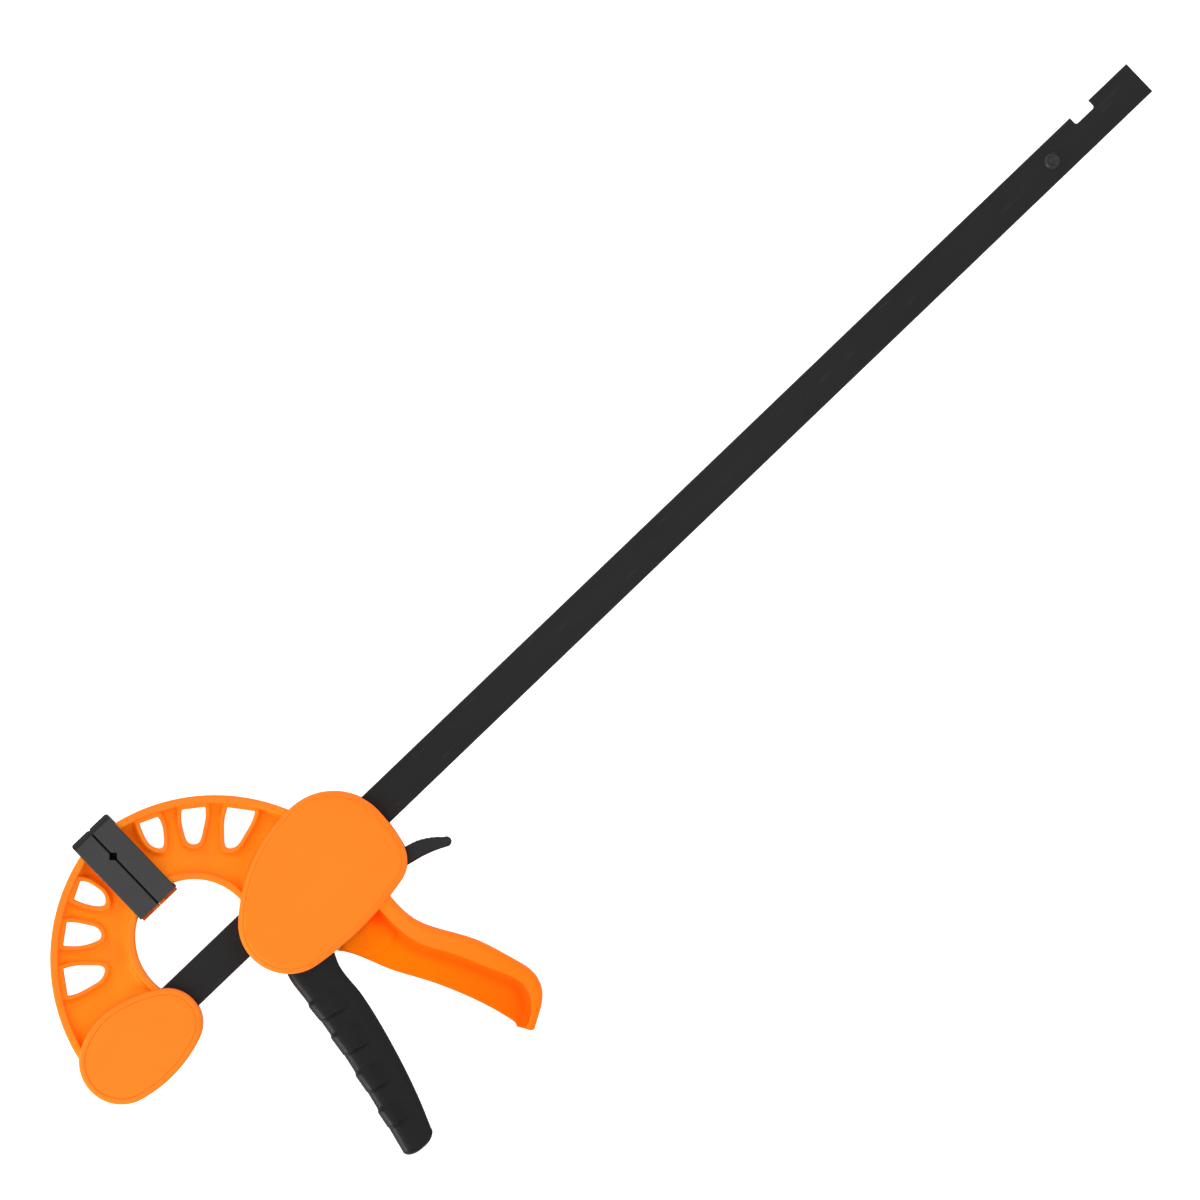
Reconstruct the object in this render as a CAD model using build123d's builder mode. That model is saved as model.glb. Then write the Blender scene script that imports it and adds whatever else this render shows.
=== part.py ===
from build123d import *
from math import atan2, cos, degrees, hypot, pi, radians, sin, sqrt, tan
import os

# Quick release bar clamp, lying on its back with the jaws closed. Lengths are in millimetres.
# X runs along the bar from the fixed jaw, Y from the bar towards the jaws' tips, Z up.
# The origin is on the back face, under the bar's latch notch and centre line.

# ---- driving dimensions ----

# bar
bar_length = 720.0
bar_width = 19.0
bar_thickness = 6.0
bar_edge_break = 0.4
notch_from_end = 32.75
notch_width = 12.7
notch_depth = 4.6
notch_corner = 1.2
stop_from_end = 60.2
stop_pin_diameter = 6.0
stop_head_diameter = 8.4
stop_head_height = 1.2
stop_dimple_diameter = 4.2
stop_dimple_depth = 0.7

# the whole clamp
clamp_thickness = 34.0
closing_x = 47.75  # where the pads' faces meet, from the notch in the fixed jaw
slide_fit = 0.1  # between the bar and what it slides in
part_gap = 0.3  # between pieces that move past each other
close_fit = 0.05  # round a pin, or between a plate and its socket

# arms of the jaws, measured from the closing plane and the bar's centre line
arm_web = 5.0
arm_rim_width = 22.0
rim_edge = 0.9
outer_rim = 4.0
inner_rim = 3.5
collar_wall = 2.0
collar_width = 14.0
collar_edge = 0.8
window_corner = 0.6
fixed_outer_circle = (9.8, -6.7, 94.5)
fixed_inner_circle = (3.0, 14.8, 32.5)
sliding_outer_circle = (-8.8, -8.2, 95.8)
sliding_inner_circle = (-0.5, 15.1, 31.3)
# each window: its two corners beside the outer rim, then the curve round its inner end
fixed_windows = [
    [(-29.3, 72.1), (-20.8, 76.5), (-18.4, 73.6), (-16.9, 68.4), (-16.6, 63.8), (-19.3, 59.7), (-26.7, 66.1)],
    [(-49.4, 59.1), (-40.0, 66.3), (-36.4, 62.8), (-33.0, 57.9), (-30.7, 52.2), (-32.5, 49.0), (-37.2, 49.7),
     (-42.8, 52.7)],
    [(-65.1, 39.4), (-57.3, 50.7), (-51.6, 47.5), (-46.0, 42.4), (-42.2, 36.4), (-45.0, 34.3), (-53.7, 34.9),
     (-60.9, 37.0)],
]
sliding_windows = [
    [(20.4, 76.8), (29.6, 72.8), (28.1, 68.0), (25.3, 64.0), (20.2, 60.2), (17.4, 63.4), (17.5, 69.6)],
    [(40.6, 67.1), (50.1, 60.0), (46.9, 56.3), (41.0, 52.1), (34.6, 49.4), (31.6, 52.2), (33.3, 58.2),
     (36.4, 63.2)],
    [(57.9, 52.2), (66.6, 41.2), (60.9, 38.1), (54.0, 36.1), (46.8, 35.2), (43.7, 37.6), (46.6, 42.9),
     (51.3, 47.8)],
]

# jaw plates, which the arms end in, and the pads that slip over them
plate_front = 3.8
plate_thickness = 4.2
plate_low = 41.4
plate_high = 89.0
plate_width = 25.0
lip_height = 1.5
lip_front = 0.4
lip_step = 4.0
lip_back = 11.4
lip_width = 29.0
lip_back_width = 14.0
pad_face = 0.1
pad_depth = 12.0
pad_high = 92.0
pad_width = 30.0
pad_fit = 0.1
pad_edge = 0.7
pad_face_edge = 1.1
pad_corner = 1.3
pad_end_band = 3.3
pad_end_drop = 5.0
pad_groove_y = 73.9
pad_groove_depth = 2.7
pad_groove_web = 12.0

# fixed jaw's hub: three round lobes (x, y, radius) and the radii of the long arcs between them
hub_lobes = [(-68.1, -3.1, 21.3), (-38.3, -5.1, 17.6), (-57.7, 3.0, 17.2)]
hub_bulges = [69.0, 64.0, 42.0]
hub_wall = 2.9
hub_edge = 1.4
back_cover_thickness = 3.0
roof_thickness = 2.4
rail_wall = 2.4
rib_wall = 3.0
hub_bosses = [(-77.0, -14.5), (-36.5, -16.5), (-70.5, 13.0)]
boss_radius = 3.6
screw_radius = 1.5
screw_head_radius = 2.9
screw_head_height = 1.8
screw_sink = 0.3
screw_slack = 0.1
drive_slot_length = 4.0
drive_slot_width = 0.9
drive_slot_depth = 0.9

# release button and its lock key
button_thickness = 3.0
button_gap = 0.15
button_edge = 0.5
button_stroke = 4.5
key_thickness = 3.0
key_side_gap = 0.2
key_shoulder = 2.0
key_tooth_height = 7.0
key_socket_wall = 1.6
key_socket_height = 3.4
button_spring_places = [(-69.5, -2.5), (-31.0, -3.5)]
button_spring_diameter = 6.4
button_spring_wire = 0.7
button_spring_turns = 4.5
spring_post_radius = 2.0
spring_post_height = 1.6
guide_post_place = (-52.0, -15.6)
guide_post_radius = 2.2

# sliding jaw's housing, inside the same kind of outline
egg_lobes = [(39.9, -11.0, 25.1), (91.6, -17.1, 17.8), (80.2, -1.2, 31.3)]
egg_bulges = [172.0, 84.0, 82.0]
cover_thickness = 4.8
cover_top = 2.4
cover_wall = 2.4
cover_edge = 2.2
housing_inset = 0.6
housing_wall = 2.5
housing_bosses = [(60.0, 21.0), (95.0, 18.6), (20.6, -13.6), (82.0, -25.5)]
guide_length = 12.0
rear_guide_x = 103.6
guide_wall = 3.2
guide_half_width = 7.0
web_x = 75.0
web_thickness = 4.0
trigger_slot_front = 17.6
trigger_slot_rear = 68.6
trigger_slot_top = -18.0
tab_slot_front = 95.5
tab_slot_top = -18.8
tab_slot_height = 17.0

# palm handle, moulded with the housing
handle_front_edge = [(47.3, -36.5), (51.5, -42.3), (60.4, -62.0), (69.6, -78.5), (78.0, -96.0),
                     (85.0, -115.4), (87.3, -125.0)]
handle_rear_edge = [(111.2, -115.0), (108.8, -101.5), (101.9, -81.5), (93.0, -66.0), (86.9, -53.0),
                    (85.7, -43.0), (86.2, -34.0)]
handle_toe = [(86.5, -127.2), (90.4, -133.4), (91.9, -134.2), (100.4, -129.4), (107.8, -123.4)]
handle_recess_edge = [(77.7, -15.0), (77.7, -45.0), (80.4, -63.0), (88.0, -77.0), (98.8, -100.0),
                      (103.6, -114.6), (99.4, -124.2), (90.0, -130.6), (82.0, -134.0)]
handle_web = 6.0
handle_width = 24.0
handle_edge = 3.0
handle_boss = (67.0, -38.0, 15.0)
handle_boss_width = 7.6
handle_root = [(86.2, -16.0), (66.8, -16.0), (66.8, -24.0)]

# trigger
trigger_width = 22.0
trigger_wall = 2.6
trigger_front_wall = 3.4
trigger_edge = 3.2
pivot_x = 44.0
pivot_above_bar = 3.2
pivot_pin_diameter = 5.0
pivot_eye_radius = 4.2
trigger_front_edge = [(39.5, 12.0), (36.4, 1.0), (29.8, -12.5), (24.6, -21.5), (21.2, -30.5),
                      (19.2, -45.8), (15.8, -68.8), (11.5, -91.2), (6.2, -115.0), (1.8, -133.5)]
trigger_toe = [(6.5, -137.6), (13.0, -138.3), (20.4, -134.0)]
trigger_rear_edge = [(25.8, -120.4), (34.6, -92.7), (41.5, -62.0), (43.6, -43.0), (47.4, -34.0),
                     (48.6, -18.0), (48.5, 12.0)]
trigger_bands = [(-49.6, -59.0), (-69.0, -80.0), (-91.0, -101.0), (-112.0, -121.0)]
band_height = 0.8
band_reach = 16.0
trigger_ribs = [-95.0, -111.0, -126.0]
trigger_rib = 2.2
rib_setback = 3.0
nose_x = 47.9
nose_below_bar = 6.0
nose_radius = 1.8

# drive plates and their spring
drive_plate_thickness = 3.0
drive_plate_width = 16.0
drive_plate_below = 7.8
drive_plate_above = 3.6
plate_hole_slack = 0.5
spring_slack = 0.3
drive_spring_wire = 1.5
drive_spring_turns = 4.5

# brake plate, its spring and the tab that frees it
brake_x = 92.5
brake_y = -22.0
brake_lean = 6.0  # degrees, upper end forwards
brake_plate_thickness = 3.2
brake_plate_width = 16.0
brake_plate_above = 4.4
brake_plate_foot = 3.6
brake_spring_wire = 1.3
brake_spring_turns = 3.5
tab_upper_edge = [(95.4, -16.6), (101.0, -19.8), (108.4, -23.5), (115.0, -25.8), (121.4, -29.7),
                  (126.2, -33.8)]
tab_lower_edge = [(125.4, -38.5), (119.0, -35.7), (112.4, -33.2), (104.0, -31.2), (96.0, -28.8)]
tab_tip = (127.6, -36.3)
tab_heel = [(90.0, -26.8), (88.2, -22.0), (88.8, -18.0)]
tab_width = 18.0
fulcrum_x = 84.0
fulcrum_low = -26.0
fulcrum_high = -18.0

# ---- worked out from the driving dimensions ----

mid_z = clamp_thickness / 2
bar_half_width = bar_width / 2
bar_half_thickness = bar_thickness / 2
bar_start = -notch_from_end
notch_x = -closing_x  # in the jaws' own measure, from the closing plane
stop_x = bar_start + bar_length - stop_from_end
tunnel_width = bar_width + 2 * slide_fit
tunnel_thickness = bar_thickness + 2 * slide_fit
tunnel_end = bar_start - closing_x - slide_fit
roof_bottom = mid_z + bar_half_thickness + slide_fit
roof_top = roof_bottom + roof_thickness
button_bottom = clamp_thickness - button_thickness
plate_back = plate_front + plate_thickness
housing_thickness = clamp_thickness - 2 * cover_thickness
pivot_y = bar_half_width + pivot_above_bar
nose_y = -bar_half_width - nose_below_bar
drive_plate_x = nose_x + nose_radius + part_gap
rear_plate_x = drive_plate_x + drive_plate_thickness
drive_spring_x = rear_plate_x + drive_plate_thickness
bar_corner = hypot(bar_half_width, bar_half_thickness)
past_everything = 400.0


def level(height):
    """The sketch plane at a height, with its origin on the closing plane."""
    return Plane(origin=(closing_x, 0, height))


def across(x, y=0.0):
    """A sketch plane across the bar: its x is the clamp's Y and its y is the clamp's Z."""
    return Plane(origin=(closing_x + x, y, mid_z), x_dir=(0, 1, 0), z_dir=(1, 0, 0))


def lobed_oval(lobes, bulges, inset=0.0):
    """Round lobes joined by long arcs that touch both neighbours, moved in by the inset."""
    after = []
    for (x1, y1, r1), (x2, y2, r2), bulge in zip(lobes, lobes[1:] + lobes[:1], bulges):
        apart = hypot(x2 - x1, y2 - y1)
        along = ((bulge - r1) ** 2 - (bulge - r2) ** 2 + apart**2) / (2 * apart)
        aside = sqrt((bulge - r1) ** 2 - along**2)
        ux, uy = (x2 - x1) / apart, (y2 - y1) / apart
        after.append((x1 + ux * along - uy * aside, y1 + uy * along + ux * aside))
    with BuildSketch() as oval:
        with BuildLine():
            for i, (x, y, radius) in enumerate(lobes):
                x_next, y_next, _ = lobes[(i + 1) % len(lobes)]
                start = atan2(y - after[i - 1][1], x - after[i - 1][0])
                middle = atan2(y - after[i][1], x - after[i][0])
                end = atan2(y_next - after[i][1], x_next - after[i][0])
                CenterArc((x, y), radius - inset, degrees(start), degrees((middle - start) % (2 * pi)))
                CenterArc(after[i], bulges[i] - inset, degrees(middle), degrees((end - middle) % (2 * pi)))
        make_face()
    return oval.sketch


def hub_outline(inset=0.0):
    return lobed_oval(hub_lobes, hub_bulges, inset)


def egg_outline(inset=0.0):
    return lobed_oval(egg_lobes, egg_bulges, inset)


def arm_band(side, outer, inner, body_outline):
    """The part of an arm between two circles, from inside its jaw plate to the body's outline."""
    plate_middle = plate_front + plate_thickness / 2
    with BuildSketch() as band:
        with Locations(outer[:2]):
            Circle(outer[2])
        with Locations(inner[:2]):
            Circle(inner[2], mode=Mode.SUBTRACT)
        with Locations((side * (plate_middle + past_everything / 2), bar_half_width + past_everything / 2)):
            Rectangle(past_everything, past_everything, mode=Mode.INTERSECT)
        add(body_outline, mode=Mode.SUBTRACT)
    return band.sketch


def grown(circle, amount):
    return (circle[0], circle[1], circle[2] + amount)


def grown_points(points, wall):
    """The points of a closed clockwise outline, each moved out by the wall."""
    moved = []
    for before, here, after in zip(points[-1:] + points[:-1], points, points[1:] + points[:1]):
        run_in = hypot(here[0] - before[0], here[1] - before[1])
        run_out = hypot(after[0] - here[0], after[1] - here[1])
        in_x, in_y = (before[1] - here[1]) / run_in, (here[0] - before[0]) / run_in
        out_x, out_y = (here[1] - after[1]) / run_out, (after[0] - here[0]) / run_out
        mitre = wall / (1 + in_x * out_x + in_y * out_y)
        moved.append((here[0] + mitre * (in_x + out_x), here[1] + mitre * (in_y + out_y)))
    return moved


def collar_points(points):
    """A window's points grown by its collar's wall, with the outer end run on into the rim."""
    corners = grown_points(points, collar_wall)
    (x1, y1), (x2, y2) = corners[:2]
    run_on = collar_wall / hypot(x2 - x1, y2 - y1)
    corners[:2] = [(x + run_on * (y1 - y2), y + run_on * (x2 - x1)) for x, y in corners[:2]]
    return corners


def window(corners):
    """An opening with a straight outer end and a round inner end."""
    with BuildSketch() as opening:
        with BuildLine():
            Line(corners[0], corners[1])
            Spline(*corners[1:], corners[0])
        make_face()
        fillet(opening.vertices(), window_corner)
    return opening.sketch


def rounded_slab(outline, width, edge):
    """A slab about the middle plane, with the edges of both its faces rounded."""
    with BuildPart() as slab:
        with BuildSketch(level(mid_z)):
            add(outline)
        extrude(amount=width / 2, both=True)
        faces = slab.faces().sort_by(Axis.Z)
        fillet(faces[0].edges() + faces[-1].edges(), edge)
    return slab.part


def collar(points):
    """The raised wall round a window."""
    with BuildSketch() as ring:
        add(window(collar_points(points)))
        add(window(points), mode=Mode.SUBTRACT)
    return ring.sketch


def jaw_arm(side, outer, inner, windows, body_outline):
    """A web between two rims, with a collar round each window, ending in the plate for the pad."""
    with BuildPart() as arm:
        with BuildSketch(level(mid_z)):
            add(arm_band(side, outer, inner, body_outline))
            for points in windows:
                add(window(grown_points(points, collar_wall / 2)), mode=Mode.SUBTRACT)
        extrude(amount=arm_web / 2, both=True)
        for points in windows:
            add(rounded_slab(collar(points), collar_width, collar_edge))
        add(rounded_slab(arm_band(side, outer, grown(outer, -outer_rim), body_outline),
                         arm_rim_width, rim_edge))
        add(rounded_slab(arm_band(side, grown(inner, inner_rim), inner, body_outline),
                         arm_rim_width, rim_edge))
        with BuildSketch(level(mid_z)):
            with Locations((side * (plate_front + plate_back) / 2, (plate_low + plate_high) / 2)):
                Rectangle(plate_thickness, plate_high - plate_low)
        extrude(amount=plate_width / 2, both=True)
        for near, far, width in ((lip_front, lip_step, lip_width), (lip_step, lip_back, lip_back_width)):
            with BuildSketch(level(mid_z)):
                with Locations((side * (near + far) / 2, plate_low - lip_height / 2)):
                    Rectangle(far - near, lip_height)
            extrude(amount=width / 2, both=True)
    return arm.part


def jaw_pad(side, outer):
    """A soft cap that slips down over a jaw plate, with a slot behind for the arm."""
    half = pad_width / 2
    with BuildPart() as pad:
        with BuildSketch(level(mid_z)) as plan:
            with Locations((side * (pad_face + pad_depth) / 2, (plate_low + pad_high) / 2)):
                Rectangle(pad_depth - pad_face, pad_high - plate_low)
            fillet(plan.vertices().group_by(Axis.Y)[-1], pad_corner)
        extrude(amount=half, both=True)
        # the upper end slopes off on both sides
        with BuildSketch(across(0)):
            with BuildLine():
                Polyline((plate_low, half), (pad_high - pad_end_band, half), (pad_high, half - pad_end_drop),
                         (pad_high, pad_end_drop - half), (pad_high - pad_end_band, -half),
                         (plate_low, -half), close=True)
            make_face()
        extrude(amount=pad_depth, both=True, mode=Mode.INTERSECT)
        long_edges = pad.edges().filter_by(Axis.Y).sort_by_distance((closing_x, pad_groove_y, mid_z))
        fillet(long_edges[:2], pad_face_edge)
        fillet(long_edges[2:], pad_edge)
        with BuildSketch(level(mid_z)):
            with Locations((side * (plate_front + plate_back) / 2, (plate_low + plate_high) / 2)):
                Rectangle(plate_thickness + 2 * pad_fit, plate_high - plate_low + 2 * pad_fit)
        extrude(amount=plate_width / 2 + pad_fit, both=True, mode=Mode.SUBTRACT)
        with BuildSketch(level(mid_z)):
            with Locations((side * plate_back, plate_low)):
                Rectangle(2 * (pad_depth - plate_back + pad_fit), 2 * (pad_high - plate_low))
            with Locations(outer[:2]):
                Circle(outer[2] + pad_fit, mode=Mode.INTERSECT)
        extrude(amount=arm_rim_width / 2 + pad_fit, both=True, mode=Mode.SUBTRACT)
        # a groove to rest a corner in, cut from both sides
        for face_side in (1, -1):
            with BuildSketch(level(mid_z + face_side * pad_groove_web / 2)):
                with Locations((0, pad_groove_y)):
                    RegularPolygon(pad_groove_depth, 4)
            extrude(amount=face_side * pad_width, mode=Mode.SUBTRACT)
    return pad.part


def handle_outline():
    with BuildSketch() as outline:
        with BuildLine():
            Spline(*handle_front_edge)
            Polyline(handle_front_edge[-1], *handle_toe[:3])
            Spline(*handle_toe[2:], *handle_rear_edge)
            Polyline(handle_rear_edge[-1], *handle_root, handle_front_edge[0])
        make_face()
    return outline.sketch


def palm_handle():
    """A thin web with a rounded flange along the palm side and round the toe."""
    with BuildPart() as handle:
        with BuildSketch(level(mid_z)):
            add(handle_outline())
            with BuildLine():
                Spline(*handle_recess_edge)
                Polyline(handle_recess_edge[-1], (0, handle_recess_edge[-1][1]),
                         (0, handle_recess_edge[0][1]), handle_recess_edge[0])
            make_face(mode=Mode.SUBTRACT)
        extrude(amount=handle_width / 2, both=True)
        palm_side = Vertex(closing_x + handle_rear_edge[1][0], handle_rear_edge[1][1], mid_z)
        for face in (handle.faces().sort_by(Axis.Z)[0], handle.faces().sort_by(Axis.Z)[-1]):
            fillet(face.edges().sort_by_distance(palm_side)[:1], handle_edge)
        with BuildSketch(level(mid_z)):
            add(handle_outline())
        extrude(amount=handle_web / 2, both=True)
        with BuildSketch(level(mid_z)):
            with Locations(handle_boss[:2]):
                Circle(handle_boss[2])
            add(handle_outline(), mode=Mode.INTERSECT)
        extrude(amount=handle_boss_width / 2, both=True)
    return handle.part


def side_cover(face_side):
    """One oval side shell, hollow towards the housing; face_side is 1 in front and -1 behind."""
    inner_z = mid_z + face_side * housing_thickness / 2
    hollow = cover_thickness - cover_top
    with BuildPart() as cover:
        with BuildSketch(level(inner_z)):
            add(egg_outline())
        extrude(amount=face_side * cover_thickness)
        fillet(cover.faces().sort_by(Axis.Z)[-1 if face_side > 0 else 0].edges(), cover_edge)
        with BuildSketch(level(inner_z)):
            add(egg_outline(cover_wall))
        extrude(amount=face_side * hollow, mode=Mode.SUBTRACT)
        with BuildSketch(level(inner_z)):
            with Locations(*housing_bosses):
                Circle(boss_radius)
            with Locations((pivot_x, pivot_y)):
                Circle(pivot_eye_radius)
            add(egg_outline(cover_wall / 2), mode=Mode.INTERSECT)
        extrude(amount=face_side * hollow)
        with BuildSketch(level(inner_z)):
            with Locations(*housing_bosses):
                Circle(screw_radius + screw_slack)
            with Locations((pivot_x, pivot_y)):
                Circle(pivot_pin_diameter / 2 + close_fit)
        extrude(amount=face_side * hollow, mode=Mode.SUBTRACT)
        if face_side < 0:
            with BuildSketch(level(0)):
                with Locations(*housing_bosses):
                    Circle(screw_radius + screw_slack)
            extrude(amount=cover_thickness, mode=Mode.SUBTRACT)
            with BuildSketch(level(0)):
                with Locations(*housing_bosses):
                    Circle(screw_head_radius + screw_slack)
            extrude(amount=screw_sink + screw_head_height, mode=Mode.SUBTRACT)
    return cover.part


def screw(x, y, length):
    """A pan head screw that goes in from the back, with its head sunk in the cover."""
    with BuildPart() as one:
        with BuildSketch(level(screw_sink)):
            with Locations((x, y)):
                Circle(screw_head_radius)
        extrude(amount=screw_head_height)
        with BuildSketch(level(screw_sink)):
            with Locations((x, y)):
                Rectangle(drive_slot_length, drive_slot_width)
                Rectangle(drive_slot_width, drive_slot_length)
        extrude(amount=drive_slot_depth, mode=Mode.SUBTRACT)
        with BuildSketch(level(screw_sink + screw_head_height)):
            with Locations((x, y)):
                Circle(screw_radius)
        extrude(amount=length - screw_sink - screw_head_height)
    return one.part


def coil_spring(centre, direction, length, radius, wire, turns):
    """A coil spring whose wire's outside is as long as the space it fills."""
    with BuildPart() as spring:
        with BuildLine() as coil:
            Helix((length - wire) / turns, length - wire, radius, center=centre, direction=direction)
        with BuildSketch(Plane(origin=coil.line @ 0, z_dir=coil.line % 0)):
            Circle(wire / 2)
        sweep(path=coil.line, is_frenet=True)
    return spring.part


# ---- bar and its stop ----

with BuildPart() as bar:
    with BuildSketch(Plane(origin=(bar_start + bar_length / 2, 0, mid_z))):
        Rectangle(bar_length, bar_width)
        with Locations((bar_length / 2 - notch_from_end, bar_half_width),
                       (notch_from_end - bar_length / 2, bar_half_width)):
            Rectangle(notch_width, 2 * notch_depth, mode=Mode.SUBTRACT)
        with Locations((bar_length / 2 - stop_from_end, 0)):
            Circle(stop_pin_diameter / 2 + close_fit, mode=Mode.SUBTRACT)
    extrude(amount=bar_half_thickness, both=True)
    notch_floor = bar_half_width - notch_depth
    fillet(bar.edges().filter_by(Axis.Z).filter_by_position(Axis.Y, notch_floor, notch_floor), notch_corner)
    for edge_y in (-bar_half_width, bar_half_width):
        chamfer(bar.edges().filter_by(Axis.X).filter_by_position(Axis.Y, edge_y, edge_y), bar_edge_break)

with BuildPart() as bar_stop_pin:
    with BuildSketch(Plane(origin=(stop_x, 0, mid_z))):
        Circle(stop_pin_diameter / 2)
    extrude(amount=bar_half_thickness + stop_head_height, both=True)
    for head_side in (1, -1):
        with BuildSketch(Plane(origin=(stop_x, 0, mid_z + head_side * bar_half_thickness),
                               z_dir=(0, 0, head_side))):
            Circle(stop_head_diameter / 2)
        extrude(amount=stop_head_height)
        head_top = mid_z + head_side * (bar_half_thickness + stop_head_height)
        with BuildSketch(Plane(origin=(stop_x, 0, head_top), z_dir=(0, 0, head_side))):
            Circle(stop_dimple_diameter / 2)
        extrude(amount=-stop_dimple_depth, mode=Mode.SUBTRACT)

# ---- fixed jaw ----

key_width = notch_width - 2 * key_side_gap
key_y = bar_half_width + 2 * key_side_gap
key_pocket_y = key_y + key_thickness + part_gap
key_low = mid_z - bar_half_thickness + button_stroke - part_gap - key_tooth_height
key_tooth_y = bar_half_width - notch_depth + key_side_gap
key_pocket_width = key_width + 2 * key_shoulder + 2 * part_gap

with BuildPart() as fixed_jaw:
    add(jaw_arm(-1, fixed_outer_circle, fixed_inner_circle, fixed_windows, hub_outline(hub_wall / 2)))
    # wall of the hub
    with BuildSketch(level(back_cover_thickness)):
        add(hub_outline())
        add(hub_outline(hub_wall), mode=Mode.SUBTRACT)
    extrude(amount=clamp_thickness - back_cover_thickness)
    fillet(fixed_jaw.faces().sort_by(Axis.Z)[-1].outer_wire().edges(), hub_edge)
    # roof over the bar
    with BuildSketch(level(roof_bottom)):
        add(hub_outline(hub_wall / 2))
    extrude(amount=roof_thickness)
    # rails beside the bar, an end stop, ribs under it and bosses for the screws
    with BuildSketch(level(back_cover_thickness)):
        with Locations((tunnel_end - rail_wall, 0)):
            Rectangle(past_everything, tunnel_width + 2 * rail_wall, align=(Align.MIN, Align.CENTER))
            Rectangle(past_everything, tunnel_width, align=(Align.MIN, Align.CENTER), mode=Mode.SUBTRACT)
        with Locations((tunnel_end - rail_wall / 2, 0)):
            Rectangle(rail_wall, tunnel_width + 2 * rail_wall)
        with Locations(*hub_bosses):
            Circle(boss_radius)
        add(hub_outline(hub_wall / 2), mode=Mode.INTERSECT)
    extrude(amount=roof_bottom - back_cover_thickness)
    with BuildSketch(level(back_cover_thickness)):
        with Locations((hub_lobes[0][0], 0), (notch_x - key_pocket_width / 2 - rib_wall, 0),
                       (notch_x + key_pocket_width / 2 + rib_wall, 0)):
            Rectangle(rib_wall, tunnel_width + rail_wall)
    extrude(amount=mid_z - bar_half_thickness - slide_fit - back_cover_thickness)
    # tunnel for the bar, open towards the sliding jaw
    with BuildSketch(across(tunnel_end)):
        Rectangle(tunnel_width, tunnel_thickness)
    extrude(amount=closing_x - notch_from_end - tunnel_end, mode=Mode.SUBTRACT)
    # way for the lock key: through the roof, and beside and under the bar
    with BuildSketch(level(roof_bottom)):
        with Locations((notch_x, key_y - part_gap)):
            Rectangle(key_width + 2 * part_gap, key_pocket_y - key_y + part_gap,
                      align=(Align.CENTER, Align.MIN))
        with Locations(guide_post_place):
            Circle(guide_post_radius + part_gap / 2)
    extrude(amount=roof_thickness, mode=Mode.SUBTRACT)
    with BuildSketch(level(back_cover_thickness)):
        with Locations((notch_x, key_tooth_y)):
            Rectangle(key_pocket_width, key_pocket_y - key_tooth_y, align=(Align.CENTER, Align.MIN))
    extrude(amount=roof_bottom - back_cover_thickness, mode=Mode.SUBTRACT)
    # seats of the button's springs
    with BuildSketch(level(roof_top)):
        with Locations(*button_spring_places):
            Circle(spring_post_radius)
    extrude(amount=spring_post_height)
    # screw holes
    with BuildSketch(level(back_cover_thickness)):
        with Locations(*hub_bosses):
            Circle(screw_radius + screw_slack)
    extrude(amount=roof_bottom - back_cover_thickness, mode=Mode.SUBTRACT)

with BuildPart() as fixed_jaw_back_cover:
    with BuildSketch(level(0)):
        add(hub_outline())
    extrude(amount=back_cover_thickness)
    chamfer(fixed_jaw_back_cover.faces().sort_by(Axis.Z)[0].edges(), hub_edge / 2)
    with BuildSketch(level(0)):
        with Locations(*hub_bosses):
            Circle(screw_radius + screw_slack)
    extrude(amount=back_cover_thickness, mode=Mode.SUBTRACT)
    with BuildSketch(level(0)):
        with Locations(*hub_bosses):
            Circle(screw_head_radius + screw_slack)
    extrude(amount=screw_sink + screw_head_height, mode=Mode.SUBTRACT)

with BuildPart() as fixed_jaw_cover_screws:
    for place in hub_bosses:
        add(screw(*place, roof_bottom - part_gap))

with BuildPart() as release_button:
    with BuildSketch(level(button_bottom)):
        add(hub_outline(hub_wall + button_gap))
    extrude(amount=button_thickness)
    fillet(release_button.faces().sort_by(Axis.Z)[-1].edges(), button_edge)
    # guide post, spring seats and the socket that holds the key
    with BuildSketch(level(button_bottom)):
        with Locations(guide_post_place):
            Circle(guide_post_radius)
    extrude(amount=roof_bottom - button_bottom)
    with BuildSketch(level(button_bottom)):
        with Locations(*button_spring_places):
            Circle(spring_post_radius)
    extrude(amount=-spring_post_height)
    with BuildSketch(level(button_bottom)):
        with Locations((notch_x, key_y + key_thickness / 2)):
            Rectangle(key_width + 2 * key_socket_wall, key_thickness + 2 * key_socket_wall)
            Rectangle(key_width + 2 * close_fit, key_thickness + 2 * close_fit, mode=Mode.SUBTRACT)
        add(hub_outline(hub_wall + button_gap), mode=Mode.INTERSECT)
    extrude(amount=-key_socket_height)

with BuildPart() as lock_key:
    with BuildSketch(Plane(origin=(closing_x + notch_x, key_y, 0), x_dir=(1, 0, 0), z_dir=(0, -1, 0))):
        with Locations((0, key_low)):
            Rectangle(key_width, button_bottom - key_low, align=(Align.CENTER, Align.MIN))
            Rectangle(key_width + 2 * key_shoulder, roof_bottom - part_gap - key_low,
                      align=(Align.CENTER, Align.MIN))
    extrude(amount=-key_thickness)
    with BuildSketch(level(key_low)):
        with Locations((notch_x, key_tooth_y)):
            Rectangle(key_width, key_y + key_thickness / 2 - key_tooth_y, align=(Align.CENTER, Align.MIN))
    extrude(amount=key_tooth_height)
    fillet(lock_key.edges().filter_by(Axis.Z).group_by(Axis.Y)[0], notch_corner)

with BuildPart() as button_springs:
    for x, y in button_spring_places:
        add(coil_spring((closing_x + x, y, roof_top + button_spring_wire / 2), (0, 0, 1),
                        button_bottom - roof_top, (button_spring_diameter - button_spring_wire) / 2,
                        button_spring_wire, button_spring_turns))

# ---- sliding jaw ----

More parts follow.
